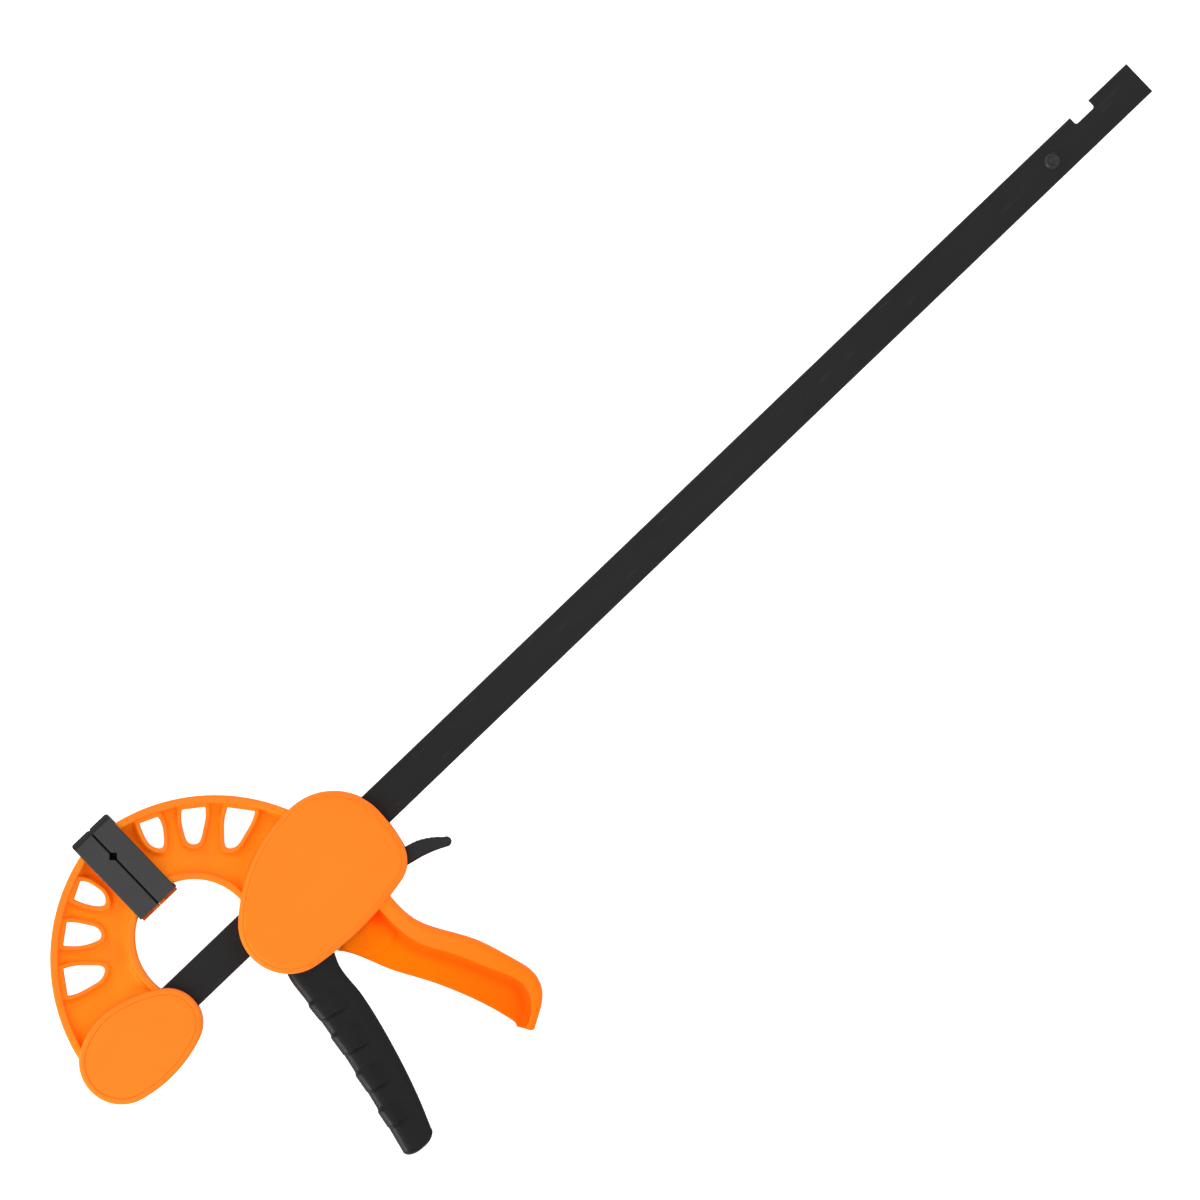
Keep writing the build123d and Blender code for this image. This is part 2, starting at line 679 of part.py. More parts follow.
guide_tall = tunnel_width + 2 * guide_wall
drive_spring_radius = bar_corner + spring_slack + drive_spring_wire / 2
brake_spring_radius = bar_corner + spring_slack + brake_spring_wire / 2

with BuildPart() as sliding_jaw_body:
    add(jaw_arm(1, sliding_outer_circle, sliding_inner_circle, sliding_windows,
                egg_outline(housing_inset + housing_wall / 2)))
    # wall of the housing, open at the bottom for the trigger
    with BuildSketch(level(mid_z)):
        add(egg_outline(housing_inset))
        add(egg_outline(housing_inset + housing_wall), mode=Mode.SUBTRACT)
    extrude(amount=housing_thickness / 2, both=True)
    with BuildSketch(level(mid_z)):
        with Locations((trigger_slot_front, trigger_slot_top)):
            Rectangle(trigger_slot_rear - trigger_slot_front, past_everything, align=(Align.MIN, Align.MAX))
    extrude(amount=housing_thickness, both=True, mode=Mode.SUBTRACT)
    # bosses, middle web and the boss of the trigger's pivot
    with BuildSketch(level(mid_z)):
        with Locations(*housing_bosses):
            Circle(boss_radius)
        with Locations((web_x, 0)):
            Rectangle(web_thickness, past_everything, align=(Align.MIN, Align.CENTER))
        add(egg_outline(housing_inset + housing_wall / 2), mode=Mode.INTERSECT)
    extrude(amount=housing_thickness / 2, both=True)
    with BuildSketch(level(mid_z)):
        with Locations((pivot_x, pivot_y)):
            Circle(pivot_eye_radius)
            Rectangle(2 * pivot_eye_radius, pivot_eye_radius + boss_radius, align=(Align.CENTER, Align.MIN))
        add(egg_outline(housing_inset + housing_wall / 2), mode=Mode.INTERSECT)
    extrude(amount=trigger_width / 2 - trigger_wall - part_gap, both=True)
    # guides for the bar at both ends of the housing
    with BuildSketch(level(mid_z)):
        Rectangle(past_everything, guide_tall)
        add(egg_outline(housing_inset + housing_wall / 2), mode=Mode.INTERSECT)
        with Locations(((egg_lobes[0][0] - egg_lobes[0][2] + guide_length + rear_guide_x) / 2, 0)):
            Rectangle(rear_guide_x - guide_length - egg_lobes[0][0] + egg_lobes[0][2], guide_tall,
                      mode=Mode.SUBTRACT)
    extrude(amount=guide_half_width, both=True)
    add(palm_handle())
    # way for the bar
    with BuildSketch(across(0)):
        Rectangle(tunnel_width, tunnel_thickness)
    extrude(amount=past_everything, mode=Mode.SUBTRACT)
    # rib that the release tab rocks on
    with BuildSketch(level(mid_z)):
        with Locations((fulcrum_x, fulcrum_low)):
            Rectangle(tab_heel[1][0] - part_gap - fulcrum_x, fulcrum_high - fulcrum_low,
                      align=(Align.MIN, Align.MIN))
    extrude(amount=housing_thickness / 2, both=True)
    # way for the release tab
    with BuildSketch(level(mid_z)):
        with Locations((tab_slot_front, tab_slot_top)):
            Rectangle(past_everything, tab_slot_height, align=(Align.MIN, Align.MAX))
    extrude(amount=tab_width / 2 + part_gap, both=True, mode=Mode.SUBTRACT)
    # holes of the pivot pin and the screws
    with BuildSketch(level(mid_z)):
        with Locations((pivot_x, pivot_y)):
            Circle(pivot_pin_diameter / 2 + close_fit)
        with Locations(*housing_bosses):
            Circle(screw_radius + screw_slack)
    extrude(amount=housing_thickness, both=True, mode=Mode.SUBTRACT)

with BuildPart() as side_cover_screws:
    for place in housing_bosses:
        add(screw(*place, clamp_thickness - cover_top - part_gap))

with BuildPart() as trigger_pivot_pin:
    with BuildSketch(level(mid_z)):
        with Locations((pivot_x, pivot_y)):
            Circle(pivot_pin_diameter / 2)
    extrude(amount=mid_z - cover_top - part_gap, both=True)

# ---- trigger ----

cheek_inside = trigger_width / 2 - trigger_wall


def trigger_outline():
    with BuildSketch() as outline:
        with BuildLine():
            Spline(*trigger_front_edge)
            Spline(trigger_front_edge[-1], *trigger_toe)
            Spline(trigger_toe[-1], *trigger_rear_edge)
            Line(trigger_rear_edge[-1], trigger_front_edge[0])
        make_face()
    return outline.sketch


def behind_front(setback, depth):
    """The strip behind a line set back from the trigger's front edge."""
    front = [(x + setback, y) for x, y in trigger_front_edge]
    with BuildSketch() as strip:
        with BuildLine():
            Spline(*front)
            Polyline(front[-1], (front[-1][0] + depth, front[-1][1]),
                     (front[0][0] + depth, front[0][1]), front[0])
        make_face()
    return strip.sketch


def trigger_band(high, low):
    """A raised band that wraps the front of the grip."""
    with BuildPart() as band:
        with BuildSketch(level(mid_z)):
            add(behind_front(-band_height, band_reach + band_height))
            with Locations((0, (high + low) / 2)):
                Rectangle(past_everything, high - low, mode=Mode.INTERSECT)
        extrude(amount=trigger_width / 2 + band_height, both=True)
        front = Vertex(closing_x + trigger_front_edge[-1][0] - past_everything, 0, mid_z)
        for face in (band.faces().sort_by(Axis.Z)[0], band.faces().sort_by(Axis.Z)[-1]):
            fillet(face.edges().sort_by_distance(front)[:1], trigger_edge)
    return band.part


with BuildPart() as trigger:
    with BuildSketch(level(mid_z)):
        add(trigger_outline())
    extrude(amount=trigger_width / 2, both=True)
    grip_front = Vertex(closing_x + trigger_front_edge[-3][0], trigger_front_edge[-3][1], mid_z)
    for face in (trigger.faces().sort_by(Axis.Z)[0], trigger.faces().sort_by(Axis.Z)[-1]):
        fillet(face.edges().sort_by_distance(grip_front)[:1], trigger_edge)
    for high, low in trigger_bands:
        add(trigger_band(high, low))
    with BuildSketch(level(mid_z)):
        with Locations((pivot_x, pivot_y)):
            Circle(pivot_eye_radius)
    extrude(amount=trigger_width / 2, both=True)
    # hollow it from the rear, and between the cheeks where the bar passes
    with BuildSketch(level(mid_z)):
        add(behind_front(trigger_front_wall, past_everything))
        with Locations((0, -bar_half_width - trigger_front_wall)):
            Rectangle(past_everything, past_everything, align=(Align.CENTER, Align.MIN))
    extrude(amount=cheek_inside, both=True, mode=Mode.SUBTRACT)
    # ribs across the grip, and the nose that pushes the drive plates
    with BuildSketch(level(mid_z)):
        with Locations(*[(0, y) for y in trigger_ribs]):
            Rectangle(past_everything, trigger_rib)
        add(trigger_outline(), mode=Mode.INTERSECT)
        add(trigger_outline().moved(Location((-rib_setback, 0))), mode=Mode.INTERSECT)
        with Locations((nose_x, nose_y)):
            Circle(nose_radius)
            Rectangle(nose_x - trigger_front_edge[2][0] - trigger_front_wall / 2, 2 * nose_radius,
                      align=(Align.MAX, Align.CENTER))
    extrude(amount=cheek_inside, both=True)
    with BuildSketch(level(mid_z)):
        with Locations((pivot_x, pivot_y)):
            Circle(pivot_pin_diameter / 2 + close_fit)
    extrude(amount=trigger_width, both=True, mode=Mode.SUBTRACT)

# ---- drive plates and their spring ----


def drive_plate(x):
    with BuildPart() as plate:
        with BuildSketch(across(x)):
            with Locations(((drive_plate_above - drive_plate_below) / 2, 0)):
                Rectangle(bar_width + drive_plate_above + drive_plate_below, drive_plate_width)
            Rectangle(bar_width + 2 * plate_hole_slack, bar_thickness + 2 * plate_hole_slack,
                      mode=Mode.SUBTRACT)
        extrude(amount=drive_plate_thickness)
        fillet(plate.edges().filter_by(Axis.X).group_by(Axis.Y)[0], nose_radius)
        fillet(plate.edges().filter_by(Axis.X).group_by(Axis.Y)[-1], nose_radius)
    return plate.part


drive_spring = coil_spring((closing_x + drive_spring_x + drive_spring_wire / 2, 0, mid_z), (1, 0, 0),
                           web_x - drive_spring_x, drive_spring_radius, drive_spring_wire, drive_spring_turns)

# ---- brake plate, release tab and brake spring ----

lean = radians(brake_lean)
brake_reach = (bar_half_width + brake_plate_above - brake_y) / cos(lean)
brake_plane = Plane(origin=(closing_x + brake_x, brake_y, mid_z),
                    x_dir=(-sin(lean), cos(lean), 0), z_dir=(cos(lean), sin(lean), 0))
brake_rear_x = brake_x + brake_plate_thickness / 2 / cos(lean) + (brake_y + drive_spring_radius) * tan(lean)

with BuildPart() as brake_plate:
    with BuildSketch(brake_plane):
        with Locations(((brake_reach - brake_plate_foot) / 2, 0)):
            Rectangle(brake_reach + brake_plate_foot, brake_plate_width)
        with Locations((-brake_y / cos(lean), 0)):
            Rectangle(bar_width + 2 * plate_hole_slack, bar_thickness + 2 * plate_hole_slack,
                      mode=Mode.SUBTRACT)
    extrude(amount=brake_plate_thickness / 2, both=True)

with BuildPart() as release_tab:
    with BuildSketch(level(mid_z)):
        with BuildLine():
            Spline(*tab_upper_edge, tab_tip, *tab_lower_edge)
            Polyline(tab_lower_edge[-1], *tab_heel, tab_upper_edge[0])
        make_face()
    extrude(amount=tab_width / 2, both=True)
    with BuildSketch(brake_plane):
        with Locations((-brake_plate_foot - close_fit, 0)):
            Rectangle(past_everything, brake_plate_width + 2 * close_fit, align=(Align.MIN, Align.CENTER))
    extrude(amount=brake_plate_thickness / 2 + close_fit, both=True, mode=Mode.SUBTRACT)

brake_spring = coil_spring((closing_x + brake_rear_x + part_gap + brake_spring_wire / 2, 0, mid_z), (1, 0, 0),
                           rear_guide_x - brake_rear_x - part_gap, brake_spring_radius,
                           brake_spring_wire, brake_spring_turns)

# ---- files ----

pieces = {
    "bar": bar.part,
    "bar_stop_pin": bar_stop_pin.part,
    "fixed_jaw": fixed_jaw.part,
    "fixed_jaw_pad": jaw_pad(-1, fixed_outer_circle),
    "fixed_jaw_back_cover": fixed_jaw_back_cover.part,
    "fixed_jaw_cover_screws": fixed_jaw_cover_screws.part,
    "release_button": release_button.part,
    "lock_key": lock_key.part,
    "button_springs": button_springs.part,
    "sliding_jaw_body": sliding_jaw_body.part,
    "sliding_jaw_pad": jaw_pad(1, sliding_outer_circle),
    "front_side_cover": side_cover(1),
    "back_side_cover": side_cover(-1),
    "side_cover_screws": side_cover_screws.part,
    "trigger": trigger.part,
    "trigger_pivot_pin": trigger_pivot_pin.part,
    "drive_plate_front": drive_plate(drive_plate_x),
    "drive_plate_rear": drive_plate(rear_plate_x),
    "drive_spring": drive_spring,
    "brake_plate": brake_plate.part,
    "release_tab": release_tab.part,
    "brake_spring": brake_spring,
}

os.makedirs("parts", exist_ok=True)
for name, piece in pieces.items():
    piece.label = name
    export_step(piece, f"parts/{name}.step")
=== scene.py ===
from math import pi, radians

import bmesh
import bpy
import numpy as np
from mathutils import Matrix, Vector


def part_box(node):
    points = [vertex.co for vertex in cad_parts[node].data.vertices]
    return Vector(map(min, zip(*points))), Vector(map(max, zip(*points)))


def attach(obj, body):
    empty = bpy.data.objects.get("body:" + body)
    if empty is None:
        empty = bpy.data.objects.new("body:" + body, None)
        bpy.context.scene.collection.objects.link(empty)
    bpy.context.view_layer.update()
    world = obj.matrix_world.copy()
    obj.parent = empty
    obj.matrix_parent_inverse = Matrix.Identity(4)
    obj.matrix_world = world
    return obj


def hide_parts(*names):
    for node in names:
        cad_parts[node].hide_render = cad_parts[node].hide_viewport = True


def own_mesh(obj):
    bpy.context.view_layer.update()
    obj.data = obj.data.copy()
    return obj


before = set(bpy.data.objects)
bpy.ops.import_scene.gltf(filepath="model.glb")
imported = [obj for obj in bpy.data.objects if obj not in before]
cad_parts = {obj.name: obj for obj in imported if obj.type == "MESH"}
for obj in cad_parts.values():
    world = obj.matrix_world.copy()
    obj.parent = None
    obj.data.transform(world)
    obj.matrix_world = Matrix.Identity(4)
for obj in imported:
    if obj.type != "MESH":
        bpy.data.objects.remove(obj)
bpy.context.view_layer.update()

# Quick release bar clamp. Shapes are worked out in millimetres, with X counted from the plane
# where the jaws meet and Z from the back face, and become metres when a mesh is made.

mm = 0.001
closingX = 47.75
midZ = 17.0
sharpAngle = radians(38)
print("frame loaded,", len(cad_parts), "nodes")


# ---- shapes ----

def fullTurn(steps):
    return np.linspace(0, 2 * pi, steps, endpoint=False)


def facing(theta):
    return np.stack([np.cos(theta), np.sin(theta)], axis=-1)


def atHeight(xy, z):
    return np.column_stack([xy, np.full(len(xy), z)])


def gridQuads(grid):
    # The four neighbours that make each cell of a grid.
    return np.stack([grid[:-1, :-1], grid[:-1, 1:], grid[1:, 1:], grid[1:, :-1]], axis=-1)


def gridShell(rings, wrapRows=False):
    # Rings of points become quads between neighbours; the last ring joins the first one, or both
    # are capped.
    points = np.array(rings)
    rows, columns = points.shape[:2]
    index = np.arange(rows * columns).reshape(rows, columns)
    caps = [] if wrapRows else [index[0, ::-1].tolist(), index[-1].tolist()]
    if wrapRows:
        index = np.vstack([index, index[:1]])
    quads = gridQuads(np.hstack([index, index[:, :1]]))
    return points.reshape(-1, 3), quads.reshape(-1, 4).tolist() + caps


def turnedShell(x, y, profile, steps):
    # A round shape about an upright axis: a ring for each radius and height of its profile.
    ring = facing(fullTurn(steps))
    return gridShell([atHeight((x, y) + radius * ring, z) for radius, z in profile])


def makePiece(name, shells, body, slotName, nodes=(), finish=None):
    # Shells joined into one mesh, with every closed shell turned to face outwards.
    points, faces, start = [], [], 0
    for shellPoints, shellFaces in shells:
        points.append(shellPoints)
        faces += [[corner + start for corner in face] for face in shellFaces]
        start += len(shellPoints)
    mesh = bpy.data.meshes.new(name)
    mesh.from_pydata(((np.vstack(points) + (closingX, 0, 0)) * mm).tolist(), [], faces)
    work = bmesh.new()
    work.from_mesh(mesh)
    bmesh.ops.recalc_face_normals(work, faces=work.faces)
    work.to_mesh(mesh)
    work.free()
    mesh.shade_smooth()
    mesh.set_sharp_from_angle(angle=sharpAngle)
    piece = bpy.data.objects.new(name, mesh)
    bpy.context.scene.collection.objects.link(piece)
    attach(piece, body)
    if nodes:
        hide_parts(*nodes)
    mesh.materials.append(finish or finishes[slotName])
    print("piece", name, len(mesh.polygons), "faces")
    return piece


def curveThrough(points, places):
    # A smooth curve through the points, read at shares 0..1 of its length: cubic Hermite spans
    # whose slope at a point is the weighted mean of the slopes beside it.
    points = np.asarray(points, float)
    places = np.asarray(places, float)
    span = np.hypot(*np.diff(points, axis=0).T)
    at = np.concatenate([[0], np.cumsum(span)])
    slope = np.diff(points, axis=0) / span[:, None]
    inner = (slope[:-1] * span[1:, None] + slope[1:] * span[:-1, None]) / (span[1:] + span[:-1])[:, None]
    tangent = np.vstack([slope[:1], inner, slope[-1:]])
    where = places * at[-1]
    i = np.clip(np.searchsorted(at, where, side="right") - 1, 0, len(span) - 1)
    h, t = span[i][:, None], ((where - at[i]) / span[i])[:, None]
    return ((2 * t**3 - 3 * t**2 + 1) * points[i] + (t**3 - 2 * t**2 + t) * h * tangent[i]
            + (3 * t**2 - 2 * t**3) * points[i + 1] + (t**3 - t**2) * h * tangent[i + 1])


def smoothStep(low, high, value):
    t = np.clip((value - low) / (high - low), 0, 1)
    return t * t * (3 - 2 * t)


def fillet(distance, radius):
    # Height of a round inside corner at a distance from its wall: r minus the circle's height there.
    near = radius - np.clip(distance, 0, radius)
    return radius - np.sqrt(radius**2 - near**2)


def ovalOutline(oval, theta, inset=0.0):
    # Arcs that touch: the point that faces theta is its arc's centre plus the arc's radius that way.
    lobes, bulges = np.array(oval["lobes"]), np.array(oval["bulges"])
    centres, radii = lobes[:, :2], lobes[:, 2]
    nextCentres, nextRadii = np.roll(centres, -1, 0), np.roll(radii, -1)
    gap = nextCentres - centres
    apart = np.hypot(*gap.T)
    along = ((bulges - radii) ** 2 - (bulges - nextRadii) ** 2 + apart**2) / (2 * apart)
    aside = np.sqrt((bulges - radii) ** 2 - along**2)
    unit = gap / apart[:, None]
    bulgeCentres = centres + unit * along[:, None] + unit[:, ::-1] * (-1, 1) * aside[:, None]
    bulgeStart = np.arctan2(*(centres - bulgeCentres).T[::-1])
    lobeStart = np.arctan2(*(nextCentres - bulgeCentres).T[::-1])
    starts = np.concatenate([bulgeStart, lobeStart]) % (2 * pi)
    arcCentres = np.vstack([bulgeCentres, nextCentres])
    arcRadii = np.concatenate([bulges, nextRadii])
    order = np.argsort(starts)
    arc = order[np.searchsorted(starts[order], theta % (2 * pi), side="right") - 1]
    return arcCentres[arc] + (arcRadii[arc] - inset)[:, None] * facing(theta)


def maskedSlab(xy, half, keep):
    # The cells of a grid whose corners are all kept, as a slab that reaches half above and half below
    # the middle plane: a cell's edge that no neighbour shares gets a side wall.
    count = half.size
    upper = gridQuads(np.arange(count).reshape(half.shape))[gridQuads(keep).all(axis=-1)]
    edges = np.stack([upper, np.roll(upper, -1, axis=1)], axis=-1).reshape(-1, 2)
    border = edges[~np.isin(edges @ (count, 1), edges @ (1, count))]
    sides = np.stack([border[:, 1], border[:, 0], border[:, 0] + count, border[:, 1] + count], axis=-1)
    used, faces = np.unique(np.vstack([upper, upper[:, ::-1] + count, sides]), return_inverse=True)
    points = np.vstack([np.column_stack([xy.reshape(-1, 2), midZ + side * half.ravel()]) for side in (1, -1)])
    return points[used], faces.reshape(-1, 4).tolist()


def lineDistance(points, line):
    # Distance to a run of short straight pieces: each point's nearest place on each piece, and the least.
    start, along = line[:-1], np.diff(line, axis=0)
    away = points[..., None, :] - start
    share = np.clip((away * along).sum(-1) / (along**2).sum(-1), 0, 1)
    return np.linalg.norm(away - share[..., None] * along, axis=-1).min(axis=-1)


def insideLoop(points, loop):
    # A ray along +X crosses a closed loop an odd number of times from inside.
    x, y = points[..., 0, None], points[..., 1, None]
    (x1, y1), (x2, y2) = loop.T, np.roll(loop, -1, axis=0).T
    crosses = ((y1 > y) != (y2 > y)) & (x < (x2 - x1) * (y - y1) / np.where(y2 == y1, 1, y2 - y1) + x1)
    return crosses.sum(axis=-1) % 2 == 1


def outlineReach(outline, centre, theta):
    # How far an outline lies from a point within it, read by the angle about that point.
    away = outline - centre
    angle = np.arctan2(away[:, 1], away[:, 0]) % (2 * pi)
    order = np.argsort(angle)
    return np.interp(theta, angle[order], np.hypot(*away.T)[order], period=2 * pi)


def outsideBy(points, loop):
    # Distance to a closed loop whose first point comes again at its end, negative inside it.
    return lineDistance(points, loop) * np.where(insideLoop(points, loop[:-1]), -1, 1)


# ---- shared shader effects ----

def addNode(tree, kind, links=(), **settings):
    # A node with its settings, its numbered or named inputs linked to sockets or set to values.
    node = tree.nodes.new("ShaderNode" + kind)
    for key, value in settings.items():
        setattr(node, key, value)
    for key, value in dict(links).items():
        if isinstance(value, bpy.types.NodeSocket):
            tree.links.new(value, node.inputs[key])
        else:
            node.inputs[key].default_value = value
    return node


def calculate(tree, operation, *values, clamp=False):
    return addNode(tree, "Math", enumerate(values), operation=operation, use_clamp=clamp).outputs[0]


def ramp(tree, value, start=0.0, end=1.0, low=0.0, high=1.0):
    # Goes from low to high while the value goes from start to end.
    links = {"Value": value, "From Min": start, "From Max": end, "To Min": low, "To Max": high}
    return addNode(tree, "MapRange", links).outputs[0]


def newGroup(name, **numbers):
    # A group whose inputs are numbers, given with their defaults.
    group = bpy.data.node_groups.new(name, "ShaderNodeTree")
    for label, value in numbers.items():
        label = label.replace("_", " ")
        socket = group.interface.new_socket(label, in_out="INPUT", socket_type="NodeSocketFloat")
        socket.default_value = value
    return group, group.nodes.new("NodeGroupInput").outputs


def closeGroup(group, **results):
    # Each result becomes one of the group's outputs.
    for label, socket in results.items():
        kind = "NodeSocketVector" if socket.type == "VECTOR" else "NodeSocketFloat"
        group.interface.new_socket(label, in_out="OUTPUT", socket_type=kind)
    end = group.nodes.new("NodeGroupOutput")
    for label, socket in results.items():
        group.links.new(socket, end.inputs[label])
    return group


def makeEdgeEffect():
    # Rounds the shading of sharp edges, and masks them where the rounded normal leaves the true one.
    group, given = newGroup("softenedEdge", Radius=0.0004, Gain=4.0)
    rounded = addNode(group, "Bevel", {"Radius": given["Radius"]}, samples=6).outputs[0]
    true = addNode(group, "NewGeometry").outputs["Normal"]
    alike = addNode(group, "VectorMath", {0: rounded, 1: true}, operation="DOT_PRODUCT").outputs["Value"]
    edge = calculate(group, "MULTIPLY", calculate(group, "SUBTRACT", 1.0, alike), given["Gain"], clamp=True)
    return closeGroup(group, Normal=rounded, Edge=edge)


def makeCavityEffect():
    # Masks the hollows where little of the sky is seen, such as recesses and seams, on faces that
    # look up or down and not on the sides.
    group, given = newGroup("cavity", Distance=0.008, Gain=1.4)
    sight = addNode(group, "AmbientOcclusion", {"Distance": given["Distance"]}, samples=8).outputs["AO"]
    closed = calculate(group, "SUBTRACT", 1.0, sight)
    stronger = calculate(group, "MULTIPLY", closed, given["Gain"], clamp=True)
    normal = addNode(group, "SeparateXYZ", {0: addNode(group, "NewGeometry").outputs["Normal"]})
    level = ramp(group, calculate(group, "ABSOLUTE", normal.outputs["Z"]), 0.2, 0.7)
    return closeGroup(group, Mask=calculate(group, "MULTIPLY", stronger, level))


def makeGrainEffect():
    # Spark-eroded mould grain: fine noise with pits from cells, as a height and as flecks.
    group, given = newGroup("mouldGrain", Scale=2400.0, Pits=0.4)
    place = addNode(group, "TexCoord").outputs["Object"]
    fine = addNode(group, "TexNoise", {"Vector": place, "Scale": given["Scale"], "Detail": 3.0,
                                       "Roughness": 0.6}).outputs["Fac"]
    cells = addNode(group, "TexVoronoi", {"Vector": place, "Scale": given["Scale"]}).outputs["Distance"]
    height = calculate(group, "ADD", fine, calculate(group, "MULTIPLY", cells, given["Pits"]))
    return closeGroup(group, Height=height, Fleck=ramp(group, fine, 0.35, 0.7))


def makeHandlingEffect():
    # Broad soft patches from handling, and sparse fine scuffs along one direction.
    group, given = newGroup("handling", Patch_Scale=22.0, Scuff_Scale=260.0)
    place = addNode(group, "TexCoord").outputs["Object"]
    broad = addNode(group, "TexNoise", {"Vector": place, "Scale": given["Patch Scale"], "Detail": 4.0,
                                        "Distortion": 0.6}).outputs["Fac"]
    turned = addNode(group, "Mapping", {"Vector": place, "Rotation": (0.3, 0.2, 0.7),
                                        "Scale": (0.12, 1.0, 1.0)}).outputs[0]
    thin = addNode(group, "TexNoise", {"Vector": turned, "Scale": given["Scuff Scale"],
                                       "Detail": 2.0}).outputs["Fac"]
    return closeGroup(group, Patch=ramp(group, broad, 0.38, 0.66), Scuff=ramp(group, thin, 0.64, 0.72))


def makeRolledEffect():
    # Drawn metal: noise stretched along the clamp's X, as fine lines and as longer streaks.
    group, given = newGroup("rolledLines", Scale=1800.0)
    place = addNode(group, "TexCoord").outputs["Object"]
    fineWay, longWay = (addNode(group, "Mapping", {"Vector": place, "Scale": (stretch, 1.0, 1.0)}).outputs[0]
                        for stretch in (0.012, 0.05))
    fine = addNode(group, "TexNoise", {"Vector": fineWay, "Scale": given["Scale"], "Detail": 3.0})
    slow = addNode(group, "TexNoise", {"Vector": longWay, "Scale": 140.0, "Detail": 4.0, "Roughness": 0.65})
    return closeGroup(group, Line=fine.outputs["Fac"], Streak=ramp(group, slow.outputs["Fac"], 0.35, 0.7))


effects = {"edge": makeEdgeEffect(), "cavity": makeCavityEffect(), "grain": makeGrainEffect(),
           "handling": makeHandlingEffect(), "rolled": makeRolledEffect()}
print("shader effects made")


# ---- finishes ----

def linear(colour):
    # A screen colour 0..255, or one tone of grey, as linear light: the power curve with its offset.
    return tuple(((c / 255 + 0.055) / 1.055) ** 2.4 for c in np.broadcast_to(colour, 3).tolist()) + (1.0,)


class Finish:
    # A material in the making: its tree, its Principled shader, and the effects placed in it.
    def __init__(self, name, colour, roughness, **sockets):
        self.material = bpy.data.materials.new(name)
        self.material.use_nodes = True
        self.tree = self.material.node_tree
        self.shader = self.tree.nodes["Principled BSDF"]
        self.shader.inputs["Base Color"].default_value = linear(colour)
        self.shader.inputs["Roughness"].default_value = roughness
        for label, value in sockets.items():
            self.shader.inputs[label.replace("_", " ")].default_value = value
        self.colour = self.tree.nodes.new("ShaderNodeRGB").outputs[0]
        self.colour.default_value = linear(colour)
        self.rough = None

    def effect(self, key, **values):
        node = self.tree.nodes.new("ShaderNodeGroup")
        node.node_tree = effects[key]
        for label, value in values.items():
            node.inputs[label.replace("_", " ")].default_value = value
        return node.outputs

    def tint(self, mask, colour, share=1.0):
        # Moves the colour so far towards another one, by share, where the mask is.
        part = calculate(self.tree, "MULTIPLY", mask, share)
        links = {"Fac": part, "Color1": self.colour, "Color2": linear(colour)}
        self.colour = addNode(self.tree, "MixRGB", links).outputs[0]

    def place(self, axis):
        # The object's own coordinate along an axis, in metres.
        place = addNode(self.tree, "TexCoord").outputs["Object"]
        return addNode(self.tree, "SeparateXYZ", {0: place}).outputs[axis]

    def span(self, axis, start, end):
        # Rises from 0 to 1 between two places along an axis.
        return ramp(self.tree, self.place(axis), start, end)

    def roughen(self, mask, low, high):
        # The first call sets the roughness and each later one adds to it, from low to high with the mask.
        part = ramp(self.tree, mask, low=low, high=high)
        self.rough = part if self.rough is None else calculate(self.tree, "ADD", self.rough, part)

    def done(self, height, strength, distance, normal):
        # The bump lies over the softened edges.
        bump = addNode(self.tree, "Bump", {"Height": height, "Strength": strength, "Distance": distance,
                                           "Normal": normal})
        results = {"Base Color": self.colour, "Roughness": self.rough, "Normal": bump.outputs[0]}
        for label, socket in results.items():
            self.tree.links.new(socket, self.shader.inputs[label])
        return self.material


orangeLook = {"face": (255, 124, 30), "shade": (255, 119, 25), "hollowShading": (255, 159, 8), "deepestShading": (255, 122, 0),
              "edge": (255, 146, 60), "low": (255, 116, 4), "shadeFall": (-0.045, -0.1), "roughness": 0.5,
              "gloss": 0.08, "sheen": 0.05, "grain": 2600.0, "edgeRadius": 0.0006, "hollow": 0.022,
              "hollowGain": 1.35, "deepestPower": 9.0, "lipShade": (176, 66, 8),
              # the lips' stretch: the mask rises along each axis from the first place to the second
              "lip": [("Y", 0.0432, 0.043), ("Y", 0.0385, 0.0392), ("X", 0.0345, 0.0355), ("X", 0.061, 0.06)]}
# a shaded copy of the orange for the palm's web, deeper and redder all over: painted shade, as the plastic is
# the same
palmShadedLook = {**orangeLook, "face": (255, 124, 0), "shade": (255, 119, 0), "hollowShading": (255, 84, 0),
            "deepestShading": (255, 84, 0), "low": (255, 100, 0), "shadeFall": (-0.055, -0.12), "gloss": 0.02,
            "sheen": 0.0, "hollow": 0.009, "hollowGain": 2.0}
padLook = {"face": 52, "fleck": 60, "patch": 47, "foot": 0, "slope": 24, "hollow": 10, "edge": 84,
           # the sloping ends' foot and the rest of them, darkened by painted shade, and how far the painted
           # shadow along the closing plane's edge reaches
           "shadeFootY": (0.0884, 0.0892), "shadeSlopeY": (0.0902, 0.0914), "splitShadowX": (0.0008, 0.0004)}
blackLook = {"face": 5, "patch": 12, "low": 0, "hollow": 0, "edge": 80, "shadeFall": (-0.05, -0.13)}
steelLook = {"face": 27, "streak": 33, "patch": 22, "scuff": 60, "edge": 140, "gloss": 0.16, "metal": 0.1}


